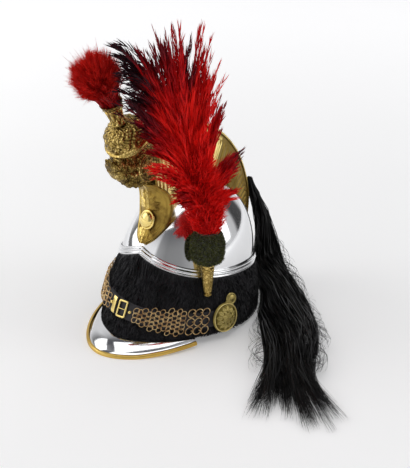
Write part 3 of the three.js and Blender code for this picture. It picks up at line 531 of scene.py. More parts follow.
def leaf(x, y, length, width, curl=0.0):
    """Height of a pressed leaf from (0, 0) to (length, 0), with its midrib sunk."""
    t = x / length
    middle = curl * width * np.sin(np.pi * np.clip(t, 0, 1))
    half = width * np.sin(np.pi * np.clip(t, 0, 1) ** 0.8) * (1 + 0.16 * np.sin(t * 22))
    s = (y - middle) / np.maximum(half, 1e-6)
    body = np.clip(1 - s ** 2, 0, 1) ** 0.5 * (1 - 0.45 * hump(s, 0, 0.16))
    return np.where((t > 0) & (t < 1), body, 0)


def rounded(x):
    """A half-round moulding across one repeat, with x from -0.5 to 0.5."""
    return np.sqrt(np.clip(1 - (x / 0.46) ** 2, 0, 1))


def tint(piece, values=(), rest=0.0):
    """One number on each corner, which the material reads to vary its colour."""
    numbers = np.full(len(piece.data.vertices), rest, np.float32)
    numbers[:np.size(values)] = np.ravel(values)
    piece.data.attributes.new("tint", "FLOAT", "POINT").data.foreach_set("value", numbers)


def tinted(place):
    """The number that a piece's corners carry, for its colour."""
    return place.node("ShaderNodeAttribute", {"attribute_name": "tint"}, None, 2)


u = np.linspace(0, 1, CREST_COLUMNS)[:, None]
v = np.linspace(0, 1, CREST_ROWS)[None, :]
foot_angle = CREST_FOOT_START + (CREST_END - CREST_FOOT_START) * u
head_angle = CREST_HEAD_START + (CREST_END - CREST_HEAD_START) * u ** 1.15
petal = (u * FLUTES + 0.5 * v) % 1 - 0.5
flutes = np.clip((v - 0.22) / 0.05, 0, 1) * np.clip((0.87 - 0.6 * petal ** 2 - v) / 0.04, 0, 1) * rounded(petal)
scroll_curl = 0.3 * np.sign(np.sin(np.pi * u * SCROLLS))
scroll = leaf((u * SCROLLS) % 1, (v - 0.115) * 6, 1.0, 0.42, scroll_curl) * (v < 0.2)
edges = hump(v, 0.035, 0.018) + hump(v, 0.205, 0.016) \
    + hump(v, 0.91, 0.02) * (0.5 + 0.5 * np.abs(np.sin(np.pi * u * FLUTES * 3)))
relief = FLUTE_RELIEF * (flutes + 0.8 * scroll + 0.7 * np.clip(edges, 0, 1))


def flank_face(inset, lift, side):
    taper = 1 - 0.45 * u ** 3
    foot_reach = skull_reach(CREST_FOOT_HALF, np.radians(foot_angle)) + CREST_SEAT
    bottom = polar(CREST_FOOT_HALF * taper - inset, foot_angle, foot_reach)
    top = polar(CREST_HEAD_HALF * taper - inset, head_angle, crest_top(head_angle) - CREST_TUCK)
    flat = bottom * (1 - v[..., None]) + top * v[..., None]
    return (flat - HELMET + stack(lift, 0, 0)) * [side, 1, 1] + HELMET


brass, wire = finish("crest_brass", Metallic=1.0)
grime = noise(brass, 30, 4).between(0.45, 0.75)
crest_brass = wire(
    Base_Color=(tinted(brass) * (1 - 0.5 * grime)).ramp(
        (0, (0.24, 0.16, 0.04)), (0.35, (0.80, 0.62, 0.22)), (0.9, (1.0, 0.84, 0.38))),
    Roughness=0.42 + 0.3 * grime, Normal=bumped(noise(brass, 240, 2), 0.2, 0.0005))
for name, side, node in (("crest_flank_left", 1, "crest_left"), ("crest_flank_right", -1, "crest_right")):
    flank = sheet_mesh(flank_face(0, relief, side), flank_face(CREST_WALL, 0, side))
    tint(new_mesh(name, flank, crest_brass, node, "brass"), (relief / FLUTE_RELIEF).clip(0, 1))

t = np.linspace(0, 1, RIDGE_BEADS * BEAD_STEPS + 1)[:, None]
ridge_angle = CREST_HEAD_START + (CREST_END - CREST_HEAD_START) * t
ridge_turn = np.linspace(0, np.pi, RIDGE_SIDES)[None, :]
bead = rounded(t * RIDGE_BEADS % 1 - 0.5)
ridge_low = crest_top(ridge_angle) - RIDGE_SEAT
ridge_crown = (RIDGE_SEAT + BEAD_HEIGHT * bead) * np.sin(ridge_turn) ** 0.6
ridge = polar(-RIDGE_HALF * (1 - 0.3 * t ** 3) * np.cos(ridge_turn), ridge_angle, ridge_low + ridge_crown)
tint(new_mesh("crest_ridge", bar_mesh(ridge), crest_brass, "crest_spine", "brass", sharp=60),
     0.25 + 0.75 * bead * np.sin(ridge_turn))


# Front plate: a pressed brass tongue over the crest's front edge, with a double raised border.
# A leaf sprig and an oval polished boss are raised on its stippled ground.
# Its middle line in mm, ahead of the helmet's middle and up, with the share of its full width.
PLATE_PROFILE = np.array([
    (-105.4, 149, 0.12), (-98.4, 158, 0.55), (-88.4, 176, 0.86), (-85.2, 196, 1.0),
    (-85.2, 214, 1.0), (-89.4, 230, 0.88), (-97.4, 243, 0.55)]) * [0.001, 0.001, 1]
PLATE_HALF, PLATE_WALL, PLATE_SWEEP, PLATE_RELIEF, SPRIG_RELIEF = 0.032, 0.002, 0.014, 0.0016, 0.0020
PLATE_COLUMNS, PLATE_ROWS = 85, 121
# Each leaf of the sprig in mm: its root's place and height, its turn in degrees, its length and width.
SPRIG = (
    (0, 198, 90, 27, 4.4), (0, 200, 30, 22, 5.0), (0, 200, 150, 22, 5.0), (0, 208, 45, 19, 4.6),
    (0, 208, 135, 19, 4.6), (0, 199, 3, 18, 4.0), (0, 199, 177, 18, 4.0), (0, 217, 55, 13, 3.6),
    (0, 217, 125, 13, 3.6), (0, 163, -90, 10, 3), (0, 165, -50, 12, 3.2), (0, 165, -130, 12, 3.2),
    (0, 166, -15, 11, 3), (0, 166, -165, 11, 3))
BOSS_HALF, BOSS_TALL, BOSS_DEPTH, BOSS_SIDES = 0.014, 0.015, 0.008, 64
BOSS_PLACE, BOSS_TILT = np.array([0, -0.0899, 0.182]), np.radians(-16)


def smooth_path(rows, t):
    """A smooth run through rows of values, for t from 0 to 1; rows may be many paths, each with its t."""
    paths = np.array(rows, float, ndmin=3)
    t = np.broadcast_to(t, (len(paths), np.shape(t)[-1]))
    last = paths.shape[1] - 1
    place = np.clip(t, 0, 1) * last
    k = np.minimum(place.astype(int), last - 1)
    f = (place - k)[..., None]
    a, b, c, d = [np.take_along_axis(paths, np.clip(k + step, 0, last)[..., None], axis=1)
                  for step in (-1, 0, 1, 2)]
    run = b + 0.5 * ((c - a) * f + (2 * a - 5 * b + 4 * c - d) * f ** 2 + (3 * b - a - 3 * c + d) * f ** 3)
    return run if np.ndim(rows) == 3 else run[0]


def turned_leaf(x, y, root_x, root_y, angle, length, width, curl=0.0):
    c, s = np.cos(np.radians(angle)), np.sin(np.radians(angle))
    dx, dy = x - root_x, y - root_y
    return leaf(dx * c + dy * s, dy * c - dx * s, length, width, curl)


def tipped(x, y, z, tilt):
    """Places turned forward by an angle about the wearer's left-to-right line."""
    return stack(x, y * np.cos(tilt) - z * np.sin(tilt), y * np.sin(tilt) + z * np.cos(tilt))


across = np.linspace(-1, 1, PLATE_COLUMNS)[:, None]
along = np.linspace(0, 1, PLATE_ROWS)
profile = smooth_path(PLATE_PROFILE, along)
plate_x = across * PLATE_HALF * profile[:, 2]
plate_z = np.broadcast_to(profile[:, 1], plate_x.shape)
rim_gap = np.minimum((1 - np.abs(across)) * profile[:, 2], (1 - along) * 2.6) * PLATE_HALF
border = hump(rim_gap, 0.0018, 0.0014) + 0.8 * hump(rim_gap, 0.0068, 0.0012)
sprig = np.zeros_like(plate_x)
for root_x, root_z, angle, length, width in SPRIG:
    sprig = np.maximum(sprig, turned_leaf(plate_x, plate_z, root_x / 1000, root_z / 1000, angle,
                                          length / 1000, width / 1000, 0.4))
plate_relief = PLATE_RELIEF * np.clip(border, 0, 1) + SPRIG_RELIEF * sprig
plate_y = profile[:, 0] + PLATE_SWEEP * (plate_x / PLATE_HALF) ** 2
plate_face = HELMET + stack(plate_x, plate_y - plate_relief, plate_z)
plate_back = HELMET + stack(plate_x, plate_y + PLATE_WALL + PLATE_RELIEF, plate_z)
plate, wire = finish("plate_brass", Metallic=1.0)
grain = noise(plate, 700, 2)
raised = tinted(plate)
ground = noise(plate, 60, 3).between(0.4, 0.7).mixed((0.42, 0.28, 0.06, 1), (0.17, 0.10, 0.022, 1))
plate_brass = wire(Base_Color=raised.between(0.15, 0.6).mixed(ground, (0.86, 0.64, 0.20, 1)),
                   Roughness=0.34 + 0.2 * grain - 0.18 * raised, Normal=bumped(grain, 0.5, 0.0006))
tint(new_mesh("front_plate_brass", sheet_mesh(plate_face, plate_back), plate_brass, "front_plate", "brass"),
     np.clip(border + sprig, 0, 1))

ring = circle(BOSS_SIDES)[None, :]
boss_edge = [(1.0, 0.0), (1.0, 0.12), (0.97, 0.2), (0.9, 0.24), (0.85, 0.2), (0.82, 0.22)]
boss_dome = [(0.82 * np.cos(a), 0.22 + 0.72 * np.sin(a)) for a in np.linspace(0.1, 1.5, 14)]
boss_out, boss_deep = np.array(boss_edge + boss_dome).T[..., None]
boss = tipped(BOSS_HALF * boss_out * np.cos(ring), -BOSS_DEPTH * boss_deep, BOSS_TALL * boss_out * np.sin(ring),
              BOSS_TILT)
bright, wire = finish("polished_brass", Metallic=1.0)
rub = noise(bright, 60, 3)
bright_brass = wire(Base_Color=rub.ramp((0.3, (0.93, 0.74, 0.28)), (0.8, (0.86, 0.64, 0.2))),
                    Roughness=0.1 + 0.14 * rub)
new_mesh("front_boss_brass", bar_mesh(boss + BOSS_PLACE + HELMET), bright_brass, "front_boss", "brass",
         sharp=50)


# Prow: a cast brass scroll of foliage ahead of the crest, with a toothed lower edge.
# A round medallion with a ringed border is cast on each side, and it carries the tuft.
# Its sections in mm: place ahead, lower and upper edge, and the share of its full width.
PROW_SECTIONS = np.array([
    (-79.8, 246, 300, 0.7), (-98, 246, 319, 1.0), (-118, 246, 319, 1.0), (-134, 252, 309.6, 0.95),
    (-148, 265, 300.6, 0.8), (-160, 281, 297, 0.6), (-167, 293, 301, 0.35)]) * [0.001, 0.001, 0.001, 1]
PROW_HALF, PROW_TEETH, PROW_TOOTH_DROP, PROW_LEAVES = 0.021, 9, 0.0042, 110
PROW_OUTLINE = ((0, 0), (0.55, 0.06), (0.95, 0.3), (1, 0.6), (0.7, 0.92), (0, 1),
                (-0.7, 0.92), (-1, 0.6), (-0.95, 0.3), (-0.55, 0.06), (0, 0))
LEAF_RELIEF, LEAF_SINK = 0.0042, 0.0016
MEDALLION_RADIUS, MEDALLION_PLACE = 0.023, np.array([0.018, -0.106, 0.276])
MEDALLION_THICK, MEDALLION_RELIEF = 0.004, 0.0016


def chasing(place, scale):
    """Hand chasing: small raised grains with dark lines between them, warped by a coarser noise."""
    warp = place.node("ShaderNodeVectorMath", {"operation": "MULTIPLY_ADD"}, {
        0: place.node("ShaderNodeTexNoise", None, {"Vector": place, "Scale": scale * 0.25}, 1),
        1: (0.008, 0.008, 0.008), 2: place})
    return warp.node("ShaderNodeTexVoronoi", {"feature": "DISTANCE_TO_EDGE"}, {"Vector": warp, "Scale": scale})


def leaf_ring(radius, turn, count, start, length, spread, width, shift=0.0):
    """Leaves that stand round a disc, each from a share of its radius outward."""
    aside = ((turn * count / (2 * np.pi) + shift) % 1 - 0.5) * spread
    return leaf((radius - start) / length, aside, 1.0, width)


rng = np.random.default_rng(11)
t = np.linspace(0, 1, 165)
section = smooth_path(PROW_SECTIONS, t)
outline = smooth_path(PROW_OUTLINE, np.linspace(0, 1, 97))[:-1]
low = section[:, 1:2] - (np.abs(np.sin(np.pi * PROW_TEETH * t)) ** 0.7 * PROW_TOOTH_DROP)[:, None]
high = section[:, 2:3]
prow_x = outline[:, 0] * section[:, 3:4] * PROW_HALF
prow_z = low + (high - low) * outline[:, 1]
prow_y = np.broadcast_to(section[:, :1], prow_x.shape)
foliage = np.zeros_like(prow_x)
for _ in range(PROW_LEAVES):
    root_y, root_z = rng.uniform(-0.168, -0.085), rng.uniform(0.244, 0.318)
    side = rng.choice([-1, 1])
    petal = turned_leaf(prow_y, prow_z, root_y, root_z, rng.uniform(0, 360), rng.uniform(0.009, 0.019),
                        rng.uniform(0.0025, 0.005), rng.uniform(-0.9, 0.9)) * (side * prow_x > 0)
    foliage = np.maximum(foliage, petal * rng.uniform(0.6, 1))
from_middle = prow_z - (low + high) / 2
swell = (LEAF_RELIEF * foliage - LEAF_SINK) / (np.hypot(prow_x, from_middle) + 1e-5)
prow_points = HELMET + stack(prow_x * (1 + swell), prow_y, prow_z + from_middle * swell)
cast, wire = finish("cast_brass", Metallic=1.0)
ridged = tinted(cast)
grains = chasing(cast, 250).between(0.0, 0.3)
old = noise(cast, 60, 4).between(0.35, 0.7)
worn = (grains * (1 - 0.7 * old) * 0.75 + 0.5 * ridged).ramp(
    (0, (0.060, 0.036, 0.009)), (0.3, (0.22, 0.145, 0.036)), (0.7, (0.50, 0.35, 0.10)), (1, (0.80, 0.60, 0.22)))
cast_brass = wire(Base_Color=worn, Roughness=0.42 - 0.16 * ridged,
                  Normal=bumped(grains * (1 - ridged), 0.6, 0.0008))
tint(new_mesh("prow_foliage", bar_mesh(prow_points), cast_brass, "prow", "brass"), 0.9 * foliage ** 2)

radius = np.linspace(1, 0.02, 46)[:, None]
spoke = circle(120)[None, :]
petals = leaf_ring(radius, spoke, 8, 0, 0.66, radius + 0.15, 0.42)
disc_relief = hump(radius, 0.93, 0.05) + 0.625 * hump(radius, 0.76, 0.035) + petals * (radius < 0.66) \
    + 0.75 * hump(radius, 0, 0.12)
disc_rings = np.concatenate([stack(0, np.cos(spoke), np.sin(spoke)), stack(
    (MEDALLION_THICK + MEDALLION_RELIEF * disc_relief) / MEDALLION_RADIUS,
    radius * np.cos(spoke), radius * np.sin(spoke))]) * MEDALLION_RADIUS
for name, side in (("medallion_left", 1), ("medallion_right", -1)):
    medallion = (disc_rings + MEDALLION_PLACE) * [side, 1, 1] + HELMET
    tint(new_mesh(name, bar_mesh(medallion), cast_brass, "prow", "brass"),
         np.vstack([0 * spoke, disc_relief.clip(0, 1)]))


# Bulb and tulip: a cast brass cap chased all over with leaves, and the flared pierced-work
# cup on top of it that holds the tuft. Both tilt forward over the prow.
BULB_PLACE, BULB_RADIUS, BULB_HEIGHT, BULB_TILT = np.array([0, -0.124, 0.317]), 0.034, 0.034, np.radians(32)
BULB_PROFILE = (
    (0.3, 0.0), (0.95, 0.0), (1.07, 0.03), (1.08, 0.08), (0.97, 0.13), (0.94, 0.3), (0.91, 0.42),
    (0.87, 0.56), (0.8, 0.68), (0.7, 0.79), (0.58, 0.88), (0.45, 0.94), (0.3, 0.98), (0.05, 1))
TULIP_PLACE, TULIP_HEIGHT, TULIP_TILT = np.array([0, -0.143, 0.3474]), 0.036, np.radians(23)
TULIP_BASE, TULIP_TOP, TULIP_LIP = 0.011, 0.017, 0.002


def turned(profile, sides, place, tilt, relief=0.0):
    """Rings of a turned piece, from (radius, height) rows, tilted forward and set in place."""
    turn = circle(sides)[None, :]
    radius = profile[:, :1] + relief
    return HELMET + place + tipped(radius * np.cos(turn), radius * np.sin(turn), profile[:, 1:], tilt)


def run_along(points):
    """How far along a line of points each one lies."""
    return np.concatenate([[0], np.cumsum(np.linalg.norm(np.diff(points, axis=0), axis=1))])


def finer(profile, count):
    """The same profile in many short steps of even length."""
    profile = np.asarray(profile, float)
    run = run_along(profile)
    return np.stack([np.interp(np.linspace(0, run[-1], count), run, column) for column in profile.T], -1)


def lattice(turn, run, count, pitch):
    return np.abs(np.sin(count * turn + pitch * run)) * np.abs(np.sin(count * turn - pitch * run))


def chased(turn, run):
    vine = np.sin(22 * turn + 5 * np.sin(21 * run)) * np.sin(34 * run)
    return 0.0015 * (lattice(turn, run, 7, 16) ** 0.7 + 0.6 * vine) * (run > 0.45) * (run < 0.98)


def pierced(turn, run):
    return 0.0018 * lattice(turn, run, 4, 9) ** 0.6 * (run > 0.16) * (run < 0.5)


def cast_turning(name, profile, sides, place, tilt, relief, tone, node):
    """A turned casting with worked relief, brighter where its tone says."""
    run = np.linspace(0, 1, len(profile))[:, None]
    rise = relief(circle(sides)[None, :], run)
    shape = bar_mesh(turned(profile, sides, place, tilt, rise))
    tint(new_mesh(name, shape, cast_brass, node, "brass", sharp=60), tone(rise, run).clip(0, 1))


a, b, h = TULIP_BASE, TULIP_TOP, TULIP_HEIGHT
tulip_profile = [
    (0.3 * a, 0), (a, 0), (a * 1.15, 0.002), (a * 0.86, 0.005), (a * 0.88, h * 0.3), (a * 0.95, h * 0.5),
    (a * 1.2, h * 0.72), (b * 0.96, h * 0.95), (b, h), (b - TULIP_LIP, h), (a * 0.9, h * 0.7),
    (a * 0.5, h * 0.5), (0.0005, h * 0.5)]
bulb_profile = np.array(BULB_PROFILE) * [BULB_RADIUS, BULB_HEIGHT]
cast_turning("bulb_cap", finer(bulb_profile, 92), 156, BULB_PLACE, BULB_TILT, chased,
             lambda rise, run: np.where(run < 0.45, 0.85, rise / 0.0018), "bulb")
cast_turning("tulip_cup", finer(tulip_profile, 84), 120, TULIP_PLACE, TULIP_TILT, pierced,
             lambda rise, run: rise / 0.0016 + hump(run, 0.5, 0.04) + hump(run, 0.15, 0.02), "tuft_socket")


# Tuft: a shaving brush of stiff red horsehair, packed in the cup and fanned out to a ball.
# Its hairs stand in many small spikes, and a few of them are longer than the rest.
TUFT_PLACE, TUFT_RADIUS, TUFT_OPENING = HELMET + [0, -0.184, 0.424], 0.038, np.radians(118)
TUFT_ROOT, TUFT_ROOT_SPREAD, TUFT_BOW = HELMET + TULIP_PLACE + [0, -0.010, 0.025], 0.0038, 0.012
TUFT_HAIRS, TUFT_SPIKES, SPIKE_SPREAD, TUFT_WIDTHS = 10500, 520, 0.045, (0.0010, 0.0009, 0.0008, 0.00015)


def from_place(place, ways, *amounts):
    """Places that lie so far from one place along each of some ways."""
    return place + sum(np.asarray(amount)[..., None] * way for way, amount in zip(ways, amounts))


rng = np.random.default_rng(5)
axis = unit(TUFT_PLACE - TUFT_ROOT)
spike = rng.integers(0, TUFT_SPIKES, TUFT_HAIRS)
opening = (TUFT_OPENING * np.sqrt(rng.uniform(0, 1, TUFT_SPIKES)))[spike] \
    + rng.normal(0, SPIKE_SPREAD, TUFT_HAIRS)
turn = rng.uniform(0, 2 * np.pi, TUFT_SPIKES)[spike] \
    + rng.normal(0, SPIKE_SPREAD, TUFT_HAIRS) / np.maximum(np.sin(opening), 0.15)
outward = from_place(0, ((1, 0, 0), np.cross(axis, [1, 0, 0])), np.cos(turn), np.sin(turn))
longer = 1 + 0.3 * (rng.uniform(0, 1, TUFT_HAIRS) > 0.97) * rng.uniform(0.3, 1, TUFT_HAIRS)
reach = TUFT_RADIUS * rng.uniform(0.84, 1.1, TUFT_SPIKES)[spike] * rng.uniform(0.7, 1.0, TUFT_HAIRS) * longer
tuft_tip = from_place(TUFT_PLACE, (axis, outward), reach * np.cos(opening), reach * np.sin(opening))
tuft_root = TUFT_ROOT + rng.normal(0, TUFT_ROOT_SPREAD, (TUFT_HAIRS, 3))
bow = axis * (TUFT_BOW * np.sin(opening / 2))[:, None]
knee = tuft_root * 0.62 + tuft_tip * 0.38 + bow
shoulder = tuft_root * 0.28 + tuft_tip * 0.72 + bow * 0.9 + rng.normal(0, 0.0009, (TUFT_HAIRS, 3))
hairs = np.stack([tuft_root, knee, shoulder, tuft_tip + rng.normal(0, 0.0012, (TUFT_HAIRS, 3))], 1)
red, wire = finish("red_hair", Roughness=0.5, Specular_IOR_Level=0.2)
red_hair = wire(Base_Color=(tinted(red) + 0.3 * noise(red, 60, 2) - 0.15).ramp(
    (0, (0.10, 0.001, 0.003)), (0.45, (0.46, 0.004, 0.006)), (1, (0.92, 0.035, 0.02))))
tuft = new_mesh("tuft_hair", ribbons(hairs, TUFT_WIDTHS, rng), red_hair, "tuft", "tuft_hair")
spike_tone = rng.uniform(0, 1, TUFT_SPIKES)[spike] * 0.3 + rng.uniform(0, 0.25, TUFT_HAIRS)
tint(tuft, np.repeat(spike_tone[:, None] + [0, 0.1, 0.3, 0.5], 2, axis=1))


# Chin strap: two lengths of black leather round the front of the turban, 1.8 mm thick.
# The left one ends in a tongue that runs through the buckle, under the right one.
# Its middle line: degrees round from the front, toward the wearer's left, and height in mm.
STRAP_LINE = ((-84, 55), (-60, 63), (-25, 63), (0, 59), (22, 52), (45, 44), (66, 38))
STRAP_HALF, STRAP_THICK, STRAP_LIFT, STRAP_STEPS = 0.012, 0.0018, 0.0006, 90
STRAP_LEFT, STRAP_RIGHT = (-20, 82), (-84, -4.5)


def strap_height(degrees):
    return np.interp(degrees, *zip(*STRAP_LINE)) / 1000


def on_turban(degrees, z, out):
    """The place on the fur's outer face at an angle and height, lifted off it by out."""
    angle, z, out = np.broadcast_arrays(np.radians(degrees), z, out)
    low, high = np.zeros(angle.shape), np.ones(angle.shape)
    for _ in range(24):
        k = (low + high) / 2
        below = turban_face(angle, k)[..., 2] < z
        low, high = np.where(below, k, low), np.where(below, high, k)
    return turban_face(angle, low, out)


def flat_lift(degrees):
    return STRAP_LIFT


def raised_lift(degrees):
    """The right half climbs over the left half's tongue."""
    return STRAP_LIFT + (STRAP_THICK + STRAP_LIFT) * np.clip((degrees + 32) / 10, 0, 1)


def band_mesh(span, lift, thick, half, steps):
    """A band along the strap's line, with softly rounded edges."""
    degrees = np.linspace(*span, steps)[:, None]
    v = np.linspace(-1, 1, 13)[None, :]
    z = strap_height(degrees) + v * half
    crown = thick * (1 - 0.45 * np.abs(v) ** 8)
    return sheet_mesh(on_turban(degrees, z, lift(degrees) + crown), on_turban(degrees, z, lift(degrees)))


leather, wire = finish("black_leather", Specular_IOR_Level=0.4)
creases = noise(leather, 60, 4, (1, 1, 3))
black_leather = wire(Base_Color=creases.ramp((0.3, (0.008, 0.008, 0.010)), (0.7, (0.022, 0.020, 0.024))),
                     Roughness=0.32 + 0.35 * creases,
                     Normal=bumped(noise(leather, 420, 4) * 0.6 + creases * 0.4, 0.4, 0.0008))
for side, span, lift in (("left", STRAP_LEFT, flat_lift), ("right", STRAP_RIGHT, raised_lift)):
    new_mesh("strap_" + side + "_leather", band_mesh(span, lift, STRAP_THICK, STRAP_HALF, STRAP_STEPS),
             black_leather, "strap_" + side, "leather", sharp=60)


# Chin mail: brass wire rings linked into a flat chain over each strap.
# It is narrow beside the buckle and widens to three columns of large rings at the rosette.
MAIL_LEFT, MAIL_RIGHT, MAIL_LIFT = (13.5, 65), (-12.5, -67.5), 0.0022
MAIL_BUCKLE_HALF, MAIL_ROSETTE_HALF = 0.010, 0.021
MAIL_PITCH, RING_RADIUS, RING_WIRE, RING_TILT = 0.0063, 0.0043, 0.00055, np.radians(19)
LARGE_PITCH, LARGE_RADIUS, LARGE_WIRE, LARGE_COLUMNS = 0.0118, 0.0060, 0.00065, 3
LINK_RADIUS, LINK_WIRE, LINK_STEP = 0.0017, 0.0005, 1.6
RING_STEPS, WIRE_STEPS = 26, 7


def turban_frame(degrees, z, out):
    """A place over the turban, with the ways round it, up it and out of it."""
    round_it = unit(on_turban(degrees + 1.7, z, out) - on_turban(degrees - 1.7, z, out))
    up = unit(on_turban(degrees, z + 0.004, out) - on_turban(degrees, z - 0.004, out))
    return on_turban(degrees, z, out), (round_it, up, np.cross(round_it, up))


def ring_points(place, across, up, radius, wire_radius):
    """Corners of one wire ring."""
    spin, round_wire = circle(RING_STEPS)[:, None, None], circle(WIRE_STEPS)[None, :, None]
    radial = across * np.cos(spin) + up * np.sin(spin)
    return place + radial * (radius + wire_radius * np.cos(round_wire)) \
        + np.cross(across, up) * wire_radius * np.sin(round_wire)


def swung(way, out, angle):
    return way * np.cos(angle) + out * np.sin(angle)


def mail(side, span, lift, rng):
    degrees = np.linspace(*span, 300)
    run = run_along(on_turban(degrees, strap_height(degrees), STRAP_LIFT))
    large_from = run[-1] - LARGE_COLUMNS * LARGE_PITCH
    rings = []
    for column, reached in enumerate(np.arange(RING_RADIUS, large_from - RING_RADIUS * 0.4, MAIL_PITCH)):
        at = np.interp(reached, run, degrees)
        half = np.interp(abs(at), [12, 46], [MAIL_BUCKLE_HALF, MAIL_ROSETTE_HALF]) - RING_RADIUS
        odd = column % 2
        count = int(2 * half / MAIL_PITCH + 0.6) + 1 - odd
        for row in range(count):
            z = strap_height(at) + (row - (count - 1) / 2) * MAIL_PITCH
            lifted = lift(at) + MAIL_LIFT + rng.uniform(-0.0003, 0.0003)
            place, (round_it, up, out) = turban_frame(at, z, lifted)
            across = swung(round_it, out, RING_TILT * (1 if odd else -1) + rng.normal(0, 0.1))
            rings.append(ring_points(place, across, swung(up, out, rng.normal(0, 0.12)),
                                     RING_RADIUS * rng.uniform(0.97, 1.05), RING_WIRE))
    for column in range(LARGE_COLUMNS):
        at = np.interp(large_from + (column + 0.5) * LARGE_PITCH, run, degrees)
        for row in (-1, 0, 1):
            z = strap_height(at) + row * (MAIL_ROSETTE_HALF - LARGE_RADIUS) * 0.88
            place, (round_it, up, out) = turban_frame(at, z, lift(at) + MAIL_LIFT * 0.9)
            across = swung(round_it, out, rng.normal(0, 0.09))
            rings.append(ring_points(place, across, up, LARGE_RADIUS, LARGE_WIRE))
            if column < LARGE_COLUMNS - 1:
                beside = at + np.sign(span[1]) * LINK_STEP
                place, (round_it, up, out) = turban_frame(beside, z, lift(at) + MAIL_LIFT)
                rings.append(ring_points(place, out, round_it, LINK_RADIUS, LINK_WIRE))
    one = grid_faces(RING_STEPS, WIRE_STEPS, ring_rows=True, ring_columns=True)
    faces = one + (np.arange(len(rings)) * RING_STEPS * WIRE_STEPS)[:, None, None]
    new_mesh("mail_rings_" + side, (np.array(rings), faces.reshape(-1, 4)), mail_brass, "mail_" + side, "brass")


copper, wire = finish("mail_brass", Metallic=1.0)
tarnish = noise(copper, 160, 3)
mail_brass = wire(
    Base_Color=tarnish.ramp((0.35, (0.82, 0.62, 0.32)), (0.55, (0.55, 0.35, 0.16)), (0.72, (0.20, 0.10, 0.05))),
    Roughness=0.2 + 0.35 * tarnish)
rng = np.random.default_rng(13)
mail("left", MAIL_LEFT, lambda at: STRAP_LIFT + STRAP_THICK, rng)
mail("right", MAIL_RIGHT, lambda at: raised_lift(at) + STRAP_THICK, rng)


# Buckle: a plain brass frame with a prong, held by a flat brass chape on the right strap.
# A small domed stud on each side pins the end of the mail to the leather.
CHAPE_SPAN, CHAPE_THICK, CHAPE_INSET, CHAPE_SEAT, CHAPE_STEPS = (-9.5, -5.5), 0.0012, 0.001, 0.0003, 12
BUCKLE_WIDTH, BUCKLE_TALL, BUCKLE_BAR, BUCKLE_DEEP = 0.017, 0.027, 0.003, 0.0024
BUCKLE_ANGLE, BUCKLE_SEAT, BUCKLE_CORNER, BUCKLE_STEPS, BAR_STEPS = 2.5, 0.0006, 0.0018, 72, 12
PRONG_RADIUS, PRONG_STEPS, PRONG_SIDES = 0.0008, 12, 8
STUD_RADIUS, STUD_HEIGHT, STUD_STEPS, STUD_SIDES = 0.0026, 0.0022, 10, 24
STUDS = (("left", 10, STRAP_LIFT + STRAP_THICK + 0.0003),
         ("right", -11.5, 2 * (STRAP_LIFT + STRAP_THICK) + 0.0003))


def rounded_side(turn, half):
    """One measure of a rectangle with rounded corners, from the cosine or sine of a turn."""
    return np.sign(turn) * (half - BUCKLE_CORNER) * (np.abs(turn) > 1e-9) + BUCKLE_CORNER * turn


chape = band_mesh(CHAPE_SPAN, lambda at: raised_lift(at) + STRAP_THICK + CHAPE_SEAT, CHAPE_THICK,
                  STRAP_HALF - CHAPE_INSET, CHAPE_STEPS)
new_mesh("chape_plate", chape, bright_brass, "buckle_chape", "brass", sharp=40)
place, ways = turban_frame(BUCKLE_ANGLE, strap_height(BUCKLE_ANGLE), STRAP_LIFT + STRAP_THICK + BUCKLE_SEAT)
half_wide, half_tall = (BUCKLE_WIDTH - BUCKLE_BAR) / 2, (BUCKLE_TALL - BUCKLE_BAR) / 2
turns = circle(BUCKLE_STEPS)[:, None]
bar_turn = circle(BAR_STEPS)
bar_out = power(np.cos(bar_turn), 0.6) * BUCKLE_BAR / 2
loop = from_place(place, ways, rounded_side(np.cos(turns), half_wide) + bar_out * np.cos(turns),
                  rounded_side(np.sin(turns), half_tall) + bar_out * np.sin(turns),
                  (power(np.sin(bar_turn), 0.6) + 1) * BUCKLE_DEEP / 2)
new_mesh("buckle_loop", (loop, grid_faces(BUCKLE_STEPS, BAR_STEPS, ring_rows=True, ring_columns=True)),
         bright_brass, "buckle_frame", "brass")
prong_run = np.linspace(-1, 1, PRONG_STEPS)[:, None]
prong_turn = circle(PRONG_SIDES)[None, :]
prong_radius = PRONG_RADIUS * (1 - 0.3 * np.clip(prong_run, 0, 1))
prong = from_place(place, ways, prong_run * half_wide, prong_radius * np.sin(prong_turn),
                   BUCKLE_DEEP + prong_radius * np.cos(prong_turn))
new_mesh("buckle_prong", bar_mesh(prong), bright_brass, "buckle_frame", "brass")
dome = np.linspace(0, np.pi / 2, STUD_STEPS)[:, None]
stud_turn = circle(STUD_SIDES)[None, :]
stud_rim = np.cos(dome) * STUD_RADIUS + 1e-5
for side, at, lift in STUDS:
    place, ways = turban_frame(at, strap_height(at), lift)
    stud = from_place(place, ways, stud_rim * np.cos(stud_turn), stud_rim * np.sin(stud_turn),
                      np.sin(dome) * STUD_HEIGHT)
    new_mesh("stud_dome_" + side, bar_mesh(stud), bright_brass, "stud_" + side, "brass")


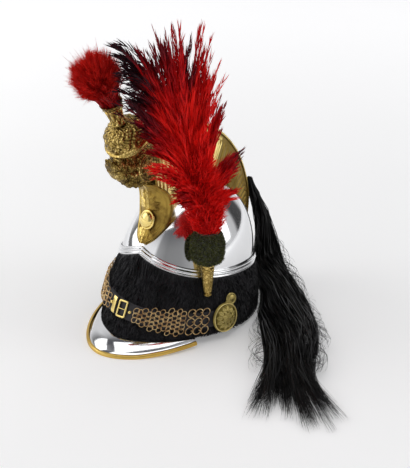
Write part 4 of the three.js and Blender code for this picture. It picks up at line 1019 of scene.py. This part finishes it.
# Rosettes: cast brass bosses that hold the chain's ends, with leaves inside a raised border.
# An ear on each one, on its upper rear side, is pinned to the helmet.
ROSETTE_RADIUS, ROSETTE_ANGLE, ROSETTE_LIFT = 0.023, 77, STRAP_LIFT + STRAP_THICK + 0.0006
EAR_RADIUS, EAR_REACH, EAR_TOWARD = 0.009, 0.030, np.array([0, 0.015, 0.0265])
EAR_PROFILE = ((1, 0), (1, 0.0026), (0.92, 0.0034), (0.8, 0.003), (0.7, 0.0024), (0.4, 0.0036), (0.02, 0.0042))
NECK_HALF, NECK_EAR_HALF, NECK_WAIST, NECK_HEIGHT = 0.013, 0.0075, 0.0012, 0.003
DISC_ROWS, DISC_SIDES, EAR_ROWS, NECK_ROWS, NECK_SIDES = 70, 150, 24, 20, 16
ROSETTES = (("left", 1, 0.035), ("right", -1, 0.050))

radius = np.linspace(1, 0.01, DISC_ROWS)[:, None]
spin = circle(DISC_SIDES)[None, :]
outer_leaf = leaf_ring(radius, spin, 12, 0.42, 0.42, 1.1 * radius, 0.4)
inner_leaf = leaf_ring(radius, spin, 8, 0, 0.5, radius + 0.2, 0.36, 0.5)
disc_rise = 0.0026 + 0.0016 * hump(radius, 0.94, 0.04) + 0.0018 * outer_leaf + 0.0017 * inner_leaf \
    + 0.0045 * np.clip(1 - (radius / 0.8) ** 2, 0, 1) ** 0.8 + 0.0008 * hump(radius, 0, 0.1)
# Painted highlight and painted shade on each disc's face: the raised border and the leaves are painted bright
# as if lit, and the ground between them is painted darker.
disc_painted_light = np.clip(0.15 + 0.8 * hump(radius, 0.94, 0.05) + 0.4 * outer_leaf + 0.4 * inner_leaf, 0, 1)
ear_out, ear_rise = finer(EAR_PROFILE, EAR_ROWS).T[..., None]
neck_share = np.linspace(0, 1, NECK_ROWS)[:, None]
neck_run = 0.6 * ROSETTE_RADIUS + (EAR_REACH - 0.6 * ROSETTE_RADIUS) * neck_share
neck_half = np.interp(neck_run, [0.014, EAR_REACH], [NECK_HALF, NECK_EAR_HALF]) \
    - NECK_WAIST * np.sin(np.pi * neck_share)
neck_turn = np.linspace(0, np.pi, NECK_SIDES)[None, :]
dull_sheet, wire = finish("olive_brass", Metallic=1.0)
dull = noise(dull_sheet, 60, 4)
olive_brass = wire(
    Base_Color=(tinted(dull_sheet) + 0.5 * dull - 0.2).ramp(
        (0, (0.06, 0.045, 0.012)), (0.4, (0.28, 0.22, 0.06)), (0.9, (0.74, 0.60, 0.24))),
    Roughness=0.25 + 0.3 * dull, Normal=bumped(noise(dull_sheet, 300, 3), 0.3, 0.0006))
for side, sign, z in ROSETTES:
    place, (round_it, up, out) = turban_frame(sign * ROSETTE_ANGLE, z, ROSETTE_LIFT)
    to_ear = unit(EAR_TOWARD - out * (EAR_TOWARD @ out))
    ways = to_ear, np.cross(to_ear, out), out
    face = ROSETTE_RADIUS * radius
    disc = np.concatenate([
        from_place(place, ways, ROSETTE_RADIUS * np.cos(spin), ROSETTE_RADIUS * np.sin(spin)),
        from_place(place, ways, face * np.cos(spin), face * np.sin(spin), disc_rise)])
    ear = from_place(place, ways, EAR_REACH + EAR_RADIUS * ear_out * np.cos(spin),
                     EAR_RADIUS * ear_out * np.sin(spin), ear_rise)
    neck = from_place(place, ways, neck_run, -neck_half * np.cos(neck_turn),
                      NECK_HEIGHT * np.sin(neck_turn) ** 0.5)
    for kind, rings, tones in (("disc_", disc, np.vstack([0 * spin + 0.3, disc_painted_light])), ("ear_", ear, ()),
                               ("neck_", neck, ())):
        piece = new_mesh("rosette_" + kind + side, bar_mesh(rings), olive_brass, "rosette_" + side, "brass")
        tint(piece, tones, 0.45)


# Plume socket: a tapered brass tube on the turban, stippled all over, with a plain collar.
# The wool olive sits in its mouth.
OLIVE_PLACE, OLIVE_RADIUS, OLIVE_HALF = np.array([0.0965, -0.065, 0.158]), 0.028, 0.027
SOCKET_LENGTH, SOCKET_TIP_RADIUS, SOCKET_TOP_RADIUS = 0.054, 0.0052, 0.0105
SOCKET_TIP = HELMET + [0.0972, -0.066, 0.073]
SOCKET_TOP = HELMET + OLIVE_PLACE - [0, 0, OLIVE_HALF + 0.0009]
SOCKET_ROWS, SOCKET_SIDES, STIPPLE_RELIEF = 116, 80, 0.0007

a, b, h = SOCKET_TIP_RADIUS, SOCKET_TOP_RADIUS, SOCKET_LENGTH
socket_profile = finer([
    (0.1 * a, 0), (0.7 * a, 0.0003), (a, 0.0016), (a * 1.15, 0.003), (a, 0.0045), (a * 1.1, 0.007),
    (b * 0.93, h - 0.006), (b * 0.95, h - 0.005), (b, h - 0.0035), (b, h - 0.001), (b * 0.9, h), (0.1 * b, h)],
    SOCKET_ROWS)
run = np.linspace(0, 1, SOCKET_ROWS)[:, None]
spin = circle(SOCKET_SIDES)[None, :]
stipple = lattice(spin, run, 8, 40) ** 0.6 * (run > 0.19) * (run < 0.76)
socket_radius = socket_profile[:, :1] + STIPPLE_RELIEF * stipple
axis = unit(SOCKET_TOP - SOCKET_TIP)
across = unit(np.cross(axis, [0, 1, 0]))
socket_rings = from_place(SOCKET_TOP - axis * h, (axis, across, np.cross(axis, across)), socket_profile[:, 1:],
                          socket_radius * np.cos(spin), socket_radius * np.sin(spin))
tint(new_mesh("socket_tube", bar_mesh(socket_rings), cast_brass, "plume_socket", "brass", sharp=60),
     (0.55 + 0.45 * stipple + 0.4 * (run > 0.78)).clip(0, 1))


# Olive: a firm barrel of dark green wool between the socket and the feathers.
# Its wool is clipped to a short pile that stands out from a round core.
OLIVE_PROFILE = ((0.02, -1), (0.72, -1), (0.9, -0.8), (1, -0.35), (1, 0.3), (0.88, 0.78), (0.68, 1), (0.02, 1))
OLIVE_CORE = np.array([OLIVE_RADIUS - 0.0045, OLIVE_HALF - 0.0035])
OLIVE_ROWS, OLIVE_SIDES, OLIVE_TUFTS, PILE_WIDTHS = 60, 64, 9000, (0.0011, 0.0009, 0.0003)

wool, wire = finish("olive_wool", Roughness=0.95, Sheen_Weight=0.4, Specular_IOR_Level=0.15)
knots = noise(wool, 260, 3)
wool_green = wire(
    Base_Color=knots.ramp(
        (0.3, (0.018, 0.021, 0.002)), (0.5, (0.058, 0.066, 0.007)), (0.75, (0.13, 0.14, 0.018))),
    Normal=bumped(knots, 0.8, 0.0015))
barrel = finer(OLIVE_PROFILE, OLIVE_ROWS)
new_mesh("olive_core", bar_mesh(turned(barrel * OLIVE_CORE, OLIVE_SIDES, OLIVE_PLACE, 0)), wool_green,
         "plume_olive", "wool")
rng = np.random.default_rng(8)
rise = rng.uniform(-0.98, 0.98, OLIVE_TUFTS)
turn = rng.uniform(0, 2 * np.pi, OLIVE_TUFTS)
core_radius = np.interp(rise, barrel[1:-1, 1], barrel[1:-1, 0]) * OLIVE_CORE[0]
way_out = stack(np.cos(turn), np.sin(turn), 0.9 * power(rise, 3))
root = HELMET + OLIVE_PLACE + way_out * [1, 1, 0] * core_radius[:, None] + stack(0, 0, rise * OLIVE_CORE[1])
aside = rng.normal(0, 0.0009, (OLIVE_TUFTS, 3))
reach = rng.uniform(0.0012, 0.0029, OLIVE_TUFTS)[:, None]
pile = np.stack([root - way_out * 0.0008, root + way_out * reach * 0.6 + aside * 0.4,
                 root + way_out * reach + aside], 1)
new_mesh("olive_pile", ribbons(pile, PILE_WIDTHS, rng), wool_green, "plume_olive", "wool")


# Side plume: a spray of red cock's hackles tied in the olive, leaning forward over the crest.
# Every feather has a quill with two rows of barbs; the foot is covered in loose bright down.
PLUME_FOOT = HELMET + OLIVE_PLACE + [0, -0.001, OLIVE_HALF + 0.0032]
PLUME_STEM = np.array([(96.5, -65.5, 188), (96, -74, 235), (94.5, -88, 285), (92, -106, 335), (88, -120, 385),
                       (74, -140, 462)]) / 1000
# Where each feather ends, how far up the stem it leaves, its fullness, and how dark it is.
HACKLES = np.array([
    (80, -119, 494, 1.0, 1.1, 0.25), (84, -108, 490, 1.0, 1.0, 0.2), (78, -131, 490, 1.0, 0.9, 0.4),
    (72, -143, 486, 1.0, 1.0, 0.4), (70, -149, 474, 0.9, 1.0, 0.5), (92, -67, 484, 0.8, 1.0, 0.15),
    (86, -85, 472, 0.9, 1.0, 0.6), (94, -66, 460, 0.75, 1.0, 0.2), (98, -66, 446, 0.7, 1.0, 0.1),
    (100, -77, 432, 0.6, 1.1, 0.1), (76, -94, 462, 0.9, 0.8, 1.0), (62, -159, 464, 0.9, 1.0, 0.4),
    (40, -185, 474, 1.33, 0.8, 1.1), (36, -188, 470, 1.3, 0.8, 1.3), (42, -182, 456, 1.2, 0.9, 1.4),
    (46, -187, 446, 1.2, 0.9, 1.4), (52, -194, 427, 1.1, 0.9, 1.1), (58, -194, 409, 0.7, 0.9, 0.8),
    (64, -190, 400, 0.65, 0.9, 0.7), (66, -181, 392, 0.6, 1.0, 0.5), (72, -181, 376, 0.55, 1.0, 0.3),
    (104, -44, 385, 0.35, 0.55, 0.3), (110, -78, 388, 0.5, 0.8, 0.1), (112, -57, 374, 0.35, 0.7, 0.2),
    (110, 2, 296, 0.1, 0.45, 0.6), (112, -22, 294, 0.15, 0.8, 0.3), (118, -36, 285, 0.1, 0.8, 0.2),
    (118, -28, 240, 0.0, 0.7, 0.1), (100, -198, 322, 0.3, 0.5, 0.0), (106, -176, 313, 0.25, 0.8, 0.1),
    (112, -160, 290, 0.15, 0.8, 0.1), (114, -148, 266, 0.05, 0.7, 0.3), (120, -52, 246, 0.0, 0.7, 0.0),
    (84, -130, 400, 0.6, 1.3, 0.1), (98, -98, 400, 0.6, 1.3, 0.0), (104, -110, 350, 0.4, 1.4, 0.0),
    (106, -80, 330, 0.3, 1.3, 0.1)]) / [1000, 1000, 1000, 1, 1, 1]
HACKLES_EACH, HACKLE_SPREAD, FOOT_SPREAD, QUILL_WIDTHS = 10, 0.0085, 0.004, np.linspace(0.0016, 0.0004, 12)
BARBS, BARB_LENGTH, BARB_WIDTHS = 84, 0.032, (0.0014, 0.0015, 0.0002)
DOWN_HAIRS, DOWN_WIDTHS = 8000, (0.0013, 0.0011, 0.0002)

rng = np.random.default_rng(21)
quills, barbs, barb_tones = [], [], []
share = np.linspace(0, 1, len(QUILL_WIDTHS))
s = (0.18 + 0.82 * share)[:, None]
side = np.where(np.arange(BARBS) % 2 == 0, 1, -1)[:, None]
for tip_x, tip_y, tip_z, leaves_at, fullness, darkness in HACKLES:
    tip_place = HELMET + [tip_x, tip_y, tip_z]
    bend = HELMET + smooth_path(PLUME_STEM, np.array([0.2 + 0.6 * leaves_at]))[0]
    for copy in range(HACKLES_EACH):
        length = 1 if copy == 0 else rng.uniform(0.55, 1.0) ** 0.7
        spread = rng.normal(0, HACKLE_SPREAD, 3) * fullness * (copy > 0)
        foot = PLUME_FOOT + [0, 0, 0.006] + rng.normal(0, FOOT_SPREAD, 3)
        tip = foot + (tip_place - foot) * length + spread
        knee = foot + (bend - foot) * (0.4 + 0.6 * length) + rng.normal(0, FOOT_SPREAD, 3)
        quill = (1 - s) ** 2 * foot + 2 * s * (1 - s) * knee + s ** 2 * tip
        quills.append(quill)
        u = np.sort(rng.uniform(0.0, 0.95, BARBS))
        base = smooth_path(quill, u)
        ahead = unit(smooth_path(quill, np.minimum(u + 0.04, 1)) - smooth_path(quill, np.maximum(u - 0.04, 0)))
        face = unit(np.cross(ahead, rng.normal(0, 0.5, 3) + [1, 0.2, 0]))
        reach = BARB_LENGTH * (0.45 + 0.55 * fullness) * (0.5 + 0.5 * np.sin(np.pi * np.clip(u + 0.1, 0, 1)))
        reach = np.minimum(reach, 0.008 + (1.02 - u) * np.linalg.norm(tip - foot) * 0.9)[:, None]
        reach = reach * rng.uniform(0.75, 1.1, (BARBS, 1))
        droop = np.cross(ahead, face) * rng.normal(0, 0.10, (BARBS, 1)) * reach
        middle = base + face * side * reach * 0.12 + ahead * reach * 0.48 + droop * 0.4
        end = base + face * side * reach * 0.17 + ahead * reach * 0.98 + droop \
            + rng.normal(0, 0.0006, (BARBS, 3))
        barbs.append(np.stack([base, middle, end], 1))
        dark = darkness * np.clip((u * length - 0.42) / 0.4, 0, 1)
        fleck = rng.uniform(0.0, 0.22) * rng.uniform(0, 1, (BARBS, 1))
        barb_tones.append(np.repeat(np.clip(dark[:, None] * [0.8, 1.0, 1.1] + fleck, 0, 1), 2, axis=1))
feather, wire = finish("red_feather", Roughness=0.6, Specular_IOR_Level=0.18)
feather_red = wire(Base_Color=(tinted(feather) + 0.3 * noise(feather, 70, 3) - 0.15).ramp(
    (0, (0.98, 0.016, 0.010)), (0.2, (0.56, 0.002, 0.004)), (0.5, (0.13, 0.001, 0.006)),
    (0.9, (0.020, 0.003, 0.007))))
hackles = ribbons(np.concatenate(barbs), BARB_WIDTHS, rng)
tint(new_mesh("plume_hackles", hackles, feather_red, "plume", "feather"), np.concatenate(barb_tones))
quill_strips = ribbons(np.array(quills), QUILL_WIDTHS, rng)
tint(new_mesh("plume_quills", quill_strips, feather_red, "plume", "feather"), rest=0.3)

up_stem = rng.uniform(0, 1, DOWN_HAIRS) ** 1.2
turn = rng.uniform(0, 2 * np.pi, DOWN_HAIRS)
middle = HELMET + smooth_path(PLUME_STEM, up_stem * 0.5) - [0, 0, 0.006]
outward = stack(np.cos(turn), np.sin(turn), 0) \
    * (0.015 + 0.012 * np.sin(np.pi * np.clip(up_stem * 0.9 + 0.1, 0, 1)))[:, None]
root = middle + outward * rng.uniform(0.2, 0.7, (DOWN_HAIRS, 1))
tip = middle + outward * rng.uniform(0.9, 1.25, (DOWN_HAIRS, 1)) \
    + stack(0, 0, rng.uniform(0.008, 0.026, DOWN_HAIRS)) + rng.normal(0, 0.003, (DOWN_HAIRS, 3))
knee = (root * 0.45 + tip * 0.55) + rng.normal(0, 0.0022, (DOWN_HAIRS, 3))
down = ribbons(np.stack([root, knee, tip], 1), DOWN_WIDTHS, rng)
tint(new_mesh("plume_down", down, feather_red, "plume", "feather"),
     np.repeat(rng.uniform(0, 0.18, DOWN_HAIRS), 6))


# Mane: a long fall of black horsehair, bound at the crest's back end.
# It drops behind the turban and lies along the floor in loose locks, with stray hairs.
# Its line in mm, with its half width and half depth there; then where its tails end, and the side each has.
MANE_LINE = np.array([
    (2, 153.8, 176, 5, 4), (7, 164.5, 145, 9, 7.5), (20, 167, 112, 12, 11), (27, 169, 80, 17, 14),
    (35, 165, 48, 22, 15), (52, 152, 24, 27, 16), (87, 126, 19, 29, 17), (127, 88, 19, 35, 16),
    (160, 48, 19, 42, 16), (192, 14, 19, 44, 16), (224, -26, 17, 40, 15), (250, -72, 14, 32, 12)]) / 1000
MANE_TIPS = np.array([
    (284, -190, -0.75), (278, -208, -0.5), (286, -157, -0.3), (311, -163, -0.05),
    (359, -166, 0.2), (350, -112, 0.45), (396, -138, 0.7)]) / [1000, 1000, 1]
MANE_LOCKS, HAIRS_IN_LOCK, HAIR_STEPS, MANE_TWIST, HAIR_FLOOR = 64, 92, 12, 2.0, 0.0006
HAIR_WIDTHS = np.interp(np.linspace(0, 1, HAIR_STEPS), [0, 0.1, 0.8, 1], [0.0011, 0.0016, 0.0014, 0.0002])
STRAYS, STRAY_STEPS, STRAY_ROOM, STRAY_FLOOR = 420, 14, 0.018, 0.0008

rng = np.random.default_rng(34)
line, rows, count = MANE_LINE[:, :3], len(MANE_LINE), MANE_LOCKS * HAIRS_IN_LOCK
ahead = np.gradient(line, axis=0)
mane_across = unit(stack(ahead[:, 1], -ahead[:, 0], 0))
mane_up = unit(np.cross(ahead, mane_across))
lock_turn = rng.uniform(0, 2 * np.pi, MANE_LOCKS)
lock_out = np.sqrt(rng.uniform(0, 1, MANE_LOCKS)) * 0.82
lock_side, lock_rise = lock_out * np.cos(lock_turn), lock_out * np.sin(lock_turn)
owner = np.repeat(np.arange(MANE_LOCKS), HAIRS_IN_LOCK)
gather = np.linspace(1.2, 0.75, rows)
loosen = np.linspace(0.2, 1, rows)
wander = rng.normal(0, 0.10, (MANE_LOCKS, rows)) * loosen
hair_side = lock_side[owner, None] + wander[owner] + rng.normal(0, 0.17, (count, 1)) * gather
hair_rise = lock_rise[owner, None] + rng.normal(0, 0.20, (count, 1)) * gather
twist = np.interp(np.arange(rows), [3, rows - 1], [0, -MANE_TWIST])
hair_side, hair_rise = (hair_side * np.cos(twist) - hair_rise * np.sin(twist),
                        hair_side * np.sin(twist) + hair_rise * np.cos(twist))
outside = np.maximum(1, np.hypot(hair_side, hair_rise))
wild = 1 + 4 * (rng.uniform(0, 1, (count, 1, 1)) > 0.96)
frizz = rng.normal(0, 0.0012, (count, rows, 3)) * loosen[:, None] * wild
mane_rows = frizz + from_place(HELMET + line, (mane_across, mane_up), hair_side / outside * MANE_LINE[:, 3],
                               hair_rise / outside * MANE_LINE[:, 4])
end_side = lock_side * np.cos(twist[-1]) - lock_rise * np.sin(twist[-1])
tail = np.abs(-end_side[:, None] - MANE_TIPS[:, 2]).argmin(axis=1)
tips = MANE_TIPS[tail, :2] + rng.normal(0, 0.007, (MANE_LOCKS, 2))
ends = HELMET + stack(tips[owner, 0], tips[owner, 1], rng.uniform(0.001, 0.006, count))
ends = ends + rng.normal(0, 0.0060, (count, 3)) * [1, 1, 0]
halfway = mane_rows[:, -1] * 0.45 + ends * 0.55
mane_rows = np.concatenate([mane_rows, halfway[:, None], ends[:, None]], axis=1)
hair_length = rng.uniform(0.86, 1.0, (count, 1)) * rng.uniform(0.93, 1, MANE_LOCKS)[owner, None]
hairs = smooth_path(mane_rows, hair_length * np.linspace(0, 1, HAIR_STEPS))
hairs[..., 2] = np.maximum(hairs[..., 2], HAIR_FLOOR)
black, wire = finish("black_horsehair", Roughness=0.38, Specular_IOR_Level=0.3)
horsehair = wire(Base_Color=(tinted(black) + 0.4 * noise(black, 30, 3) - 0.2).ramp(
    (0, (0.001, 0.001, 0.0015)), (0.7, (0.005, 0.0045, 0.0045)), (1, (0.020, 0.016, 0.014))))
tint(new_mesh("mane_hair", ribbons(hairs, HAIR_WIDTHS, rng), horsehair, "mane", "horsehair"),
     np.repeat(rng.uniform(0, 0.8, count), HAIR_STEPS * 2))

# Stray hairs leave the mane along its fall, bow out to one side, and curl over the floor.
leaves = rng.uniform(0.12, 0.97, STRAYS)
start = HELMET + smooth_path(line, leaves)
onward = HELMET + smooth_path(line, np.minimum(leaves + rng.uniform(0.08, 0.22, STRAYS), 1)) - start
half, *out = [np.interp(leaves, np.linspace(0, 1, rows), column)
              for column in (MANE_LINE[:, 3], *mane_across.T)]
which = rng.choice([-1, 1], STRAYS, p=[0.68, 0.32])[:, None]
bow = (half[:, None] + rng.gamma(2.0, 0.005, (STRAYS, 1)).clip(0, 0.017)) * which * np.stack(out, -1)
t = np.linspace(0, 1, STRAY_STEPS)[:, None]
arc = start[:, None] + onward[:, None] * t * 1.15 \
    + bow[:, None] * np.sin(np.pi * (0.12 + t * rng.uniform(0.5, 0.95, (STRAYS, 1, 1)))) \
    + rng.normal(0, 0.0012, (STRAYS, 1, 3)) * np.sin(np.pi * 2 * t)
arc[..., 2] = np.maximum(arc[..., 2] + 0.004 * np.sin(np.pi * t[:, 0]), STRAY_FLOOR)
arc = np.minimum(arc, np.array(frame_box[1]) + STRAY_ROOM)
strays = ribbons(arc, np.linspace(0.0006, 0.0002, STRAY_STEPS), rng)
tint(new_mesh("mane_strays", strays, horsehair, "mane", "horsehair"), rest=0.5)
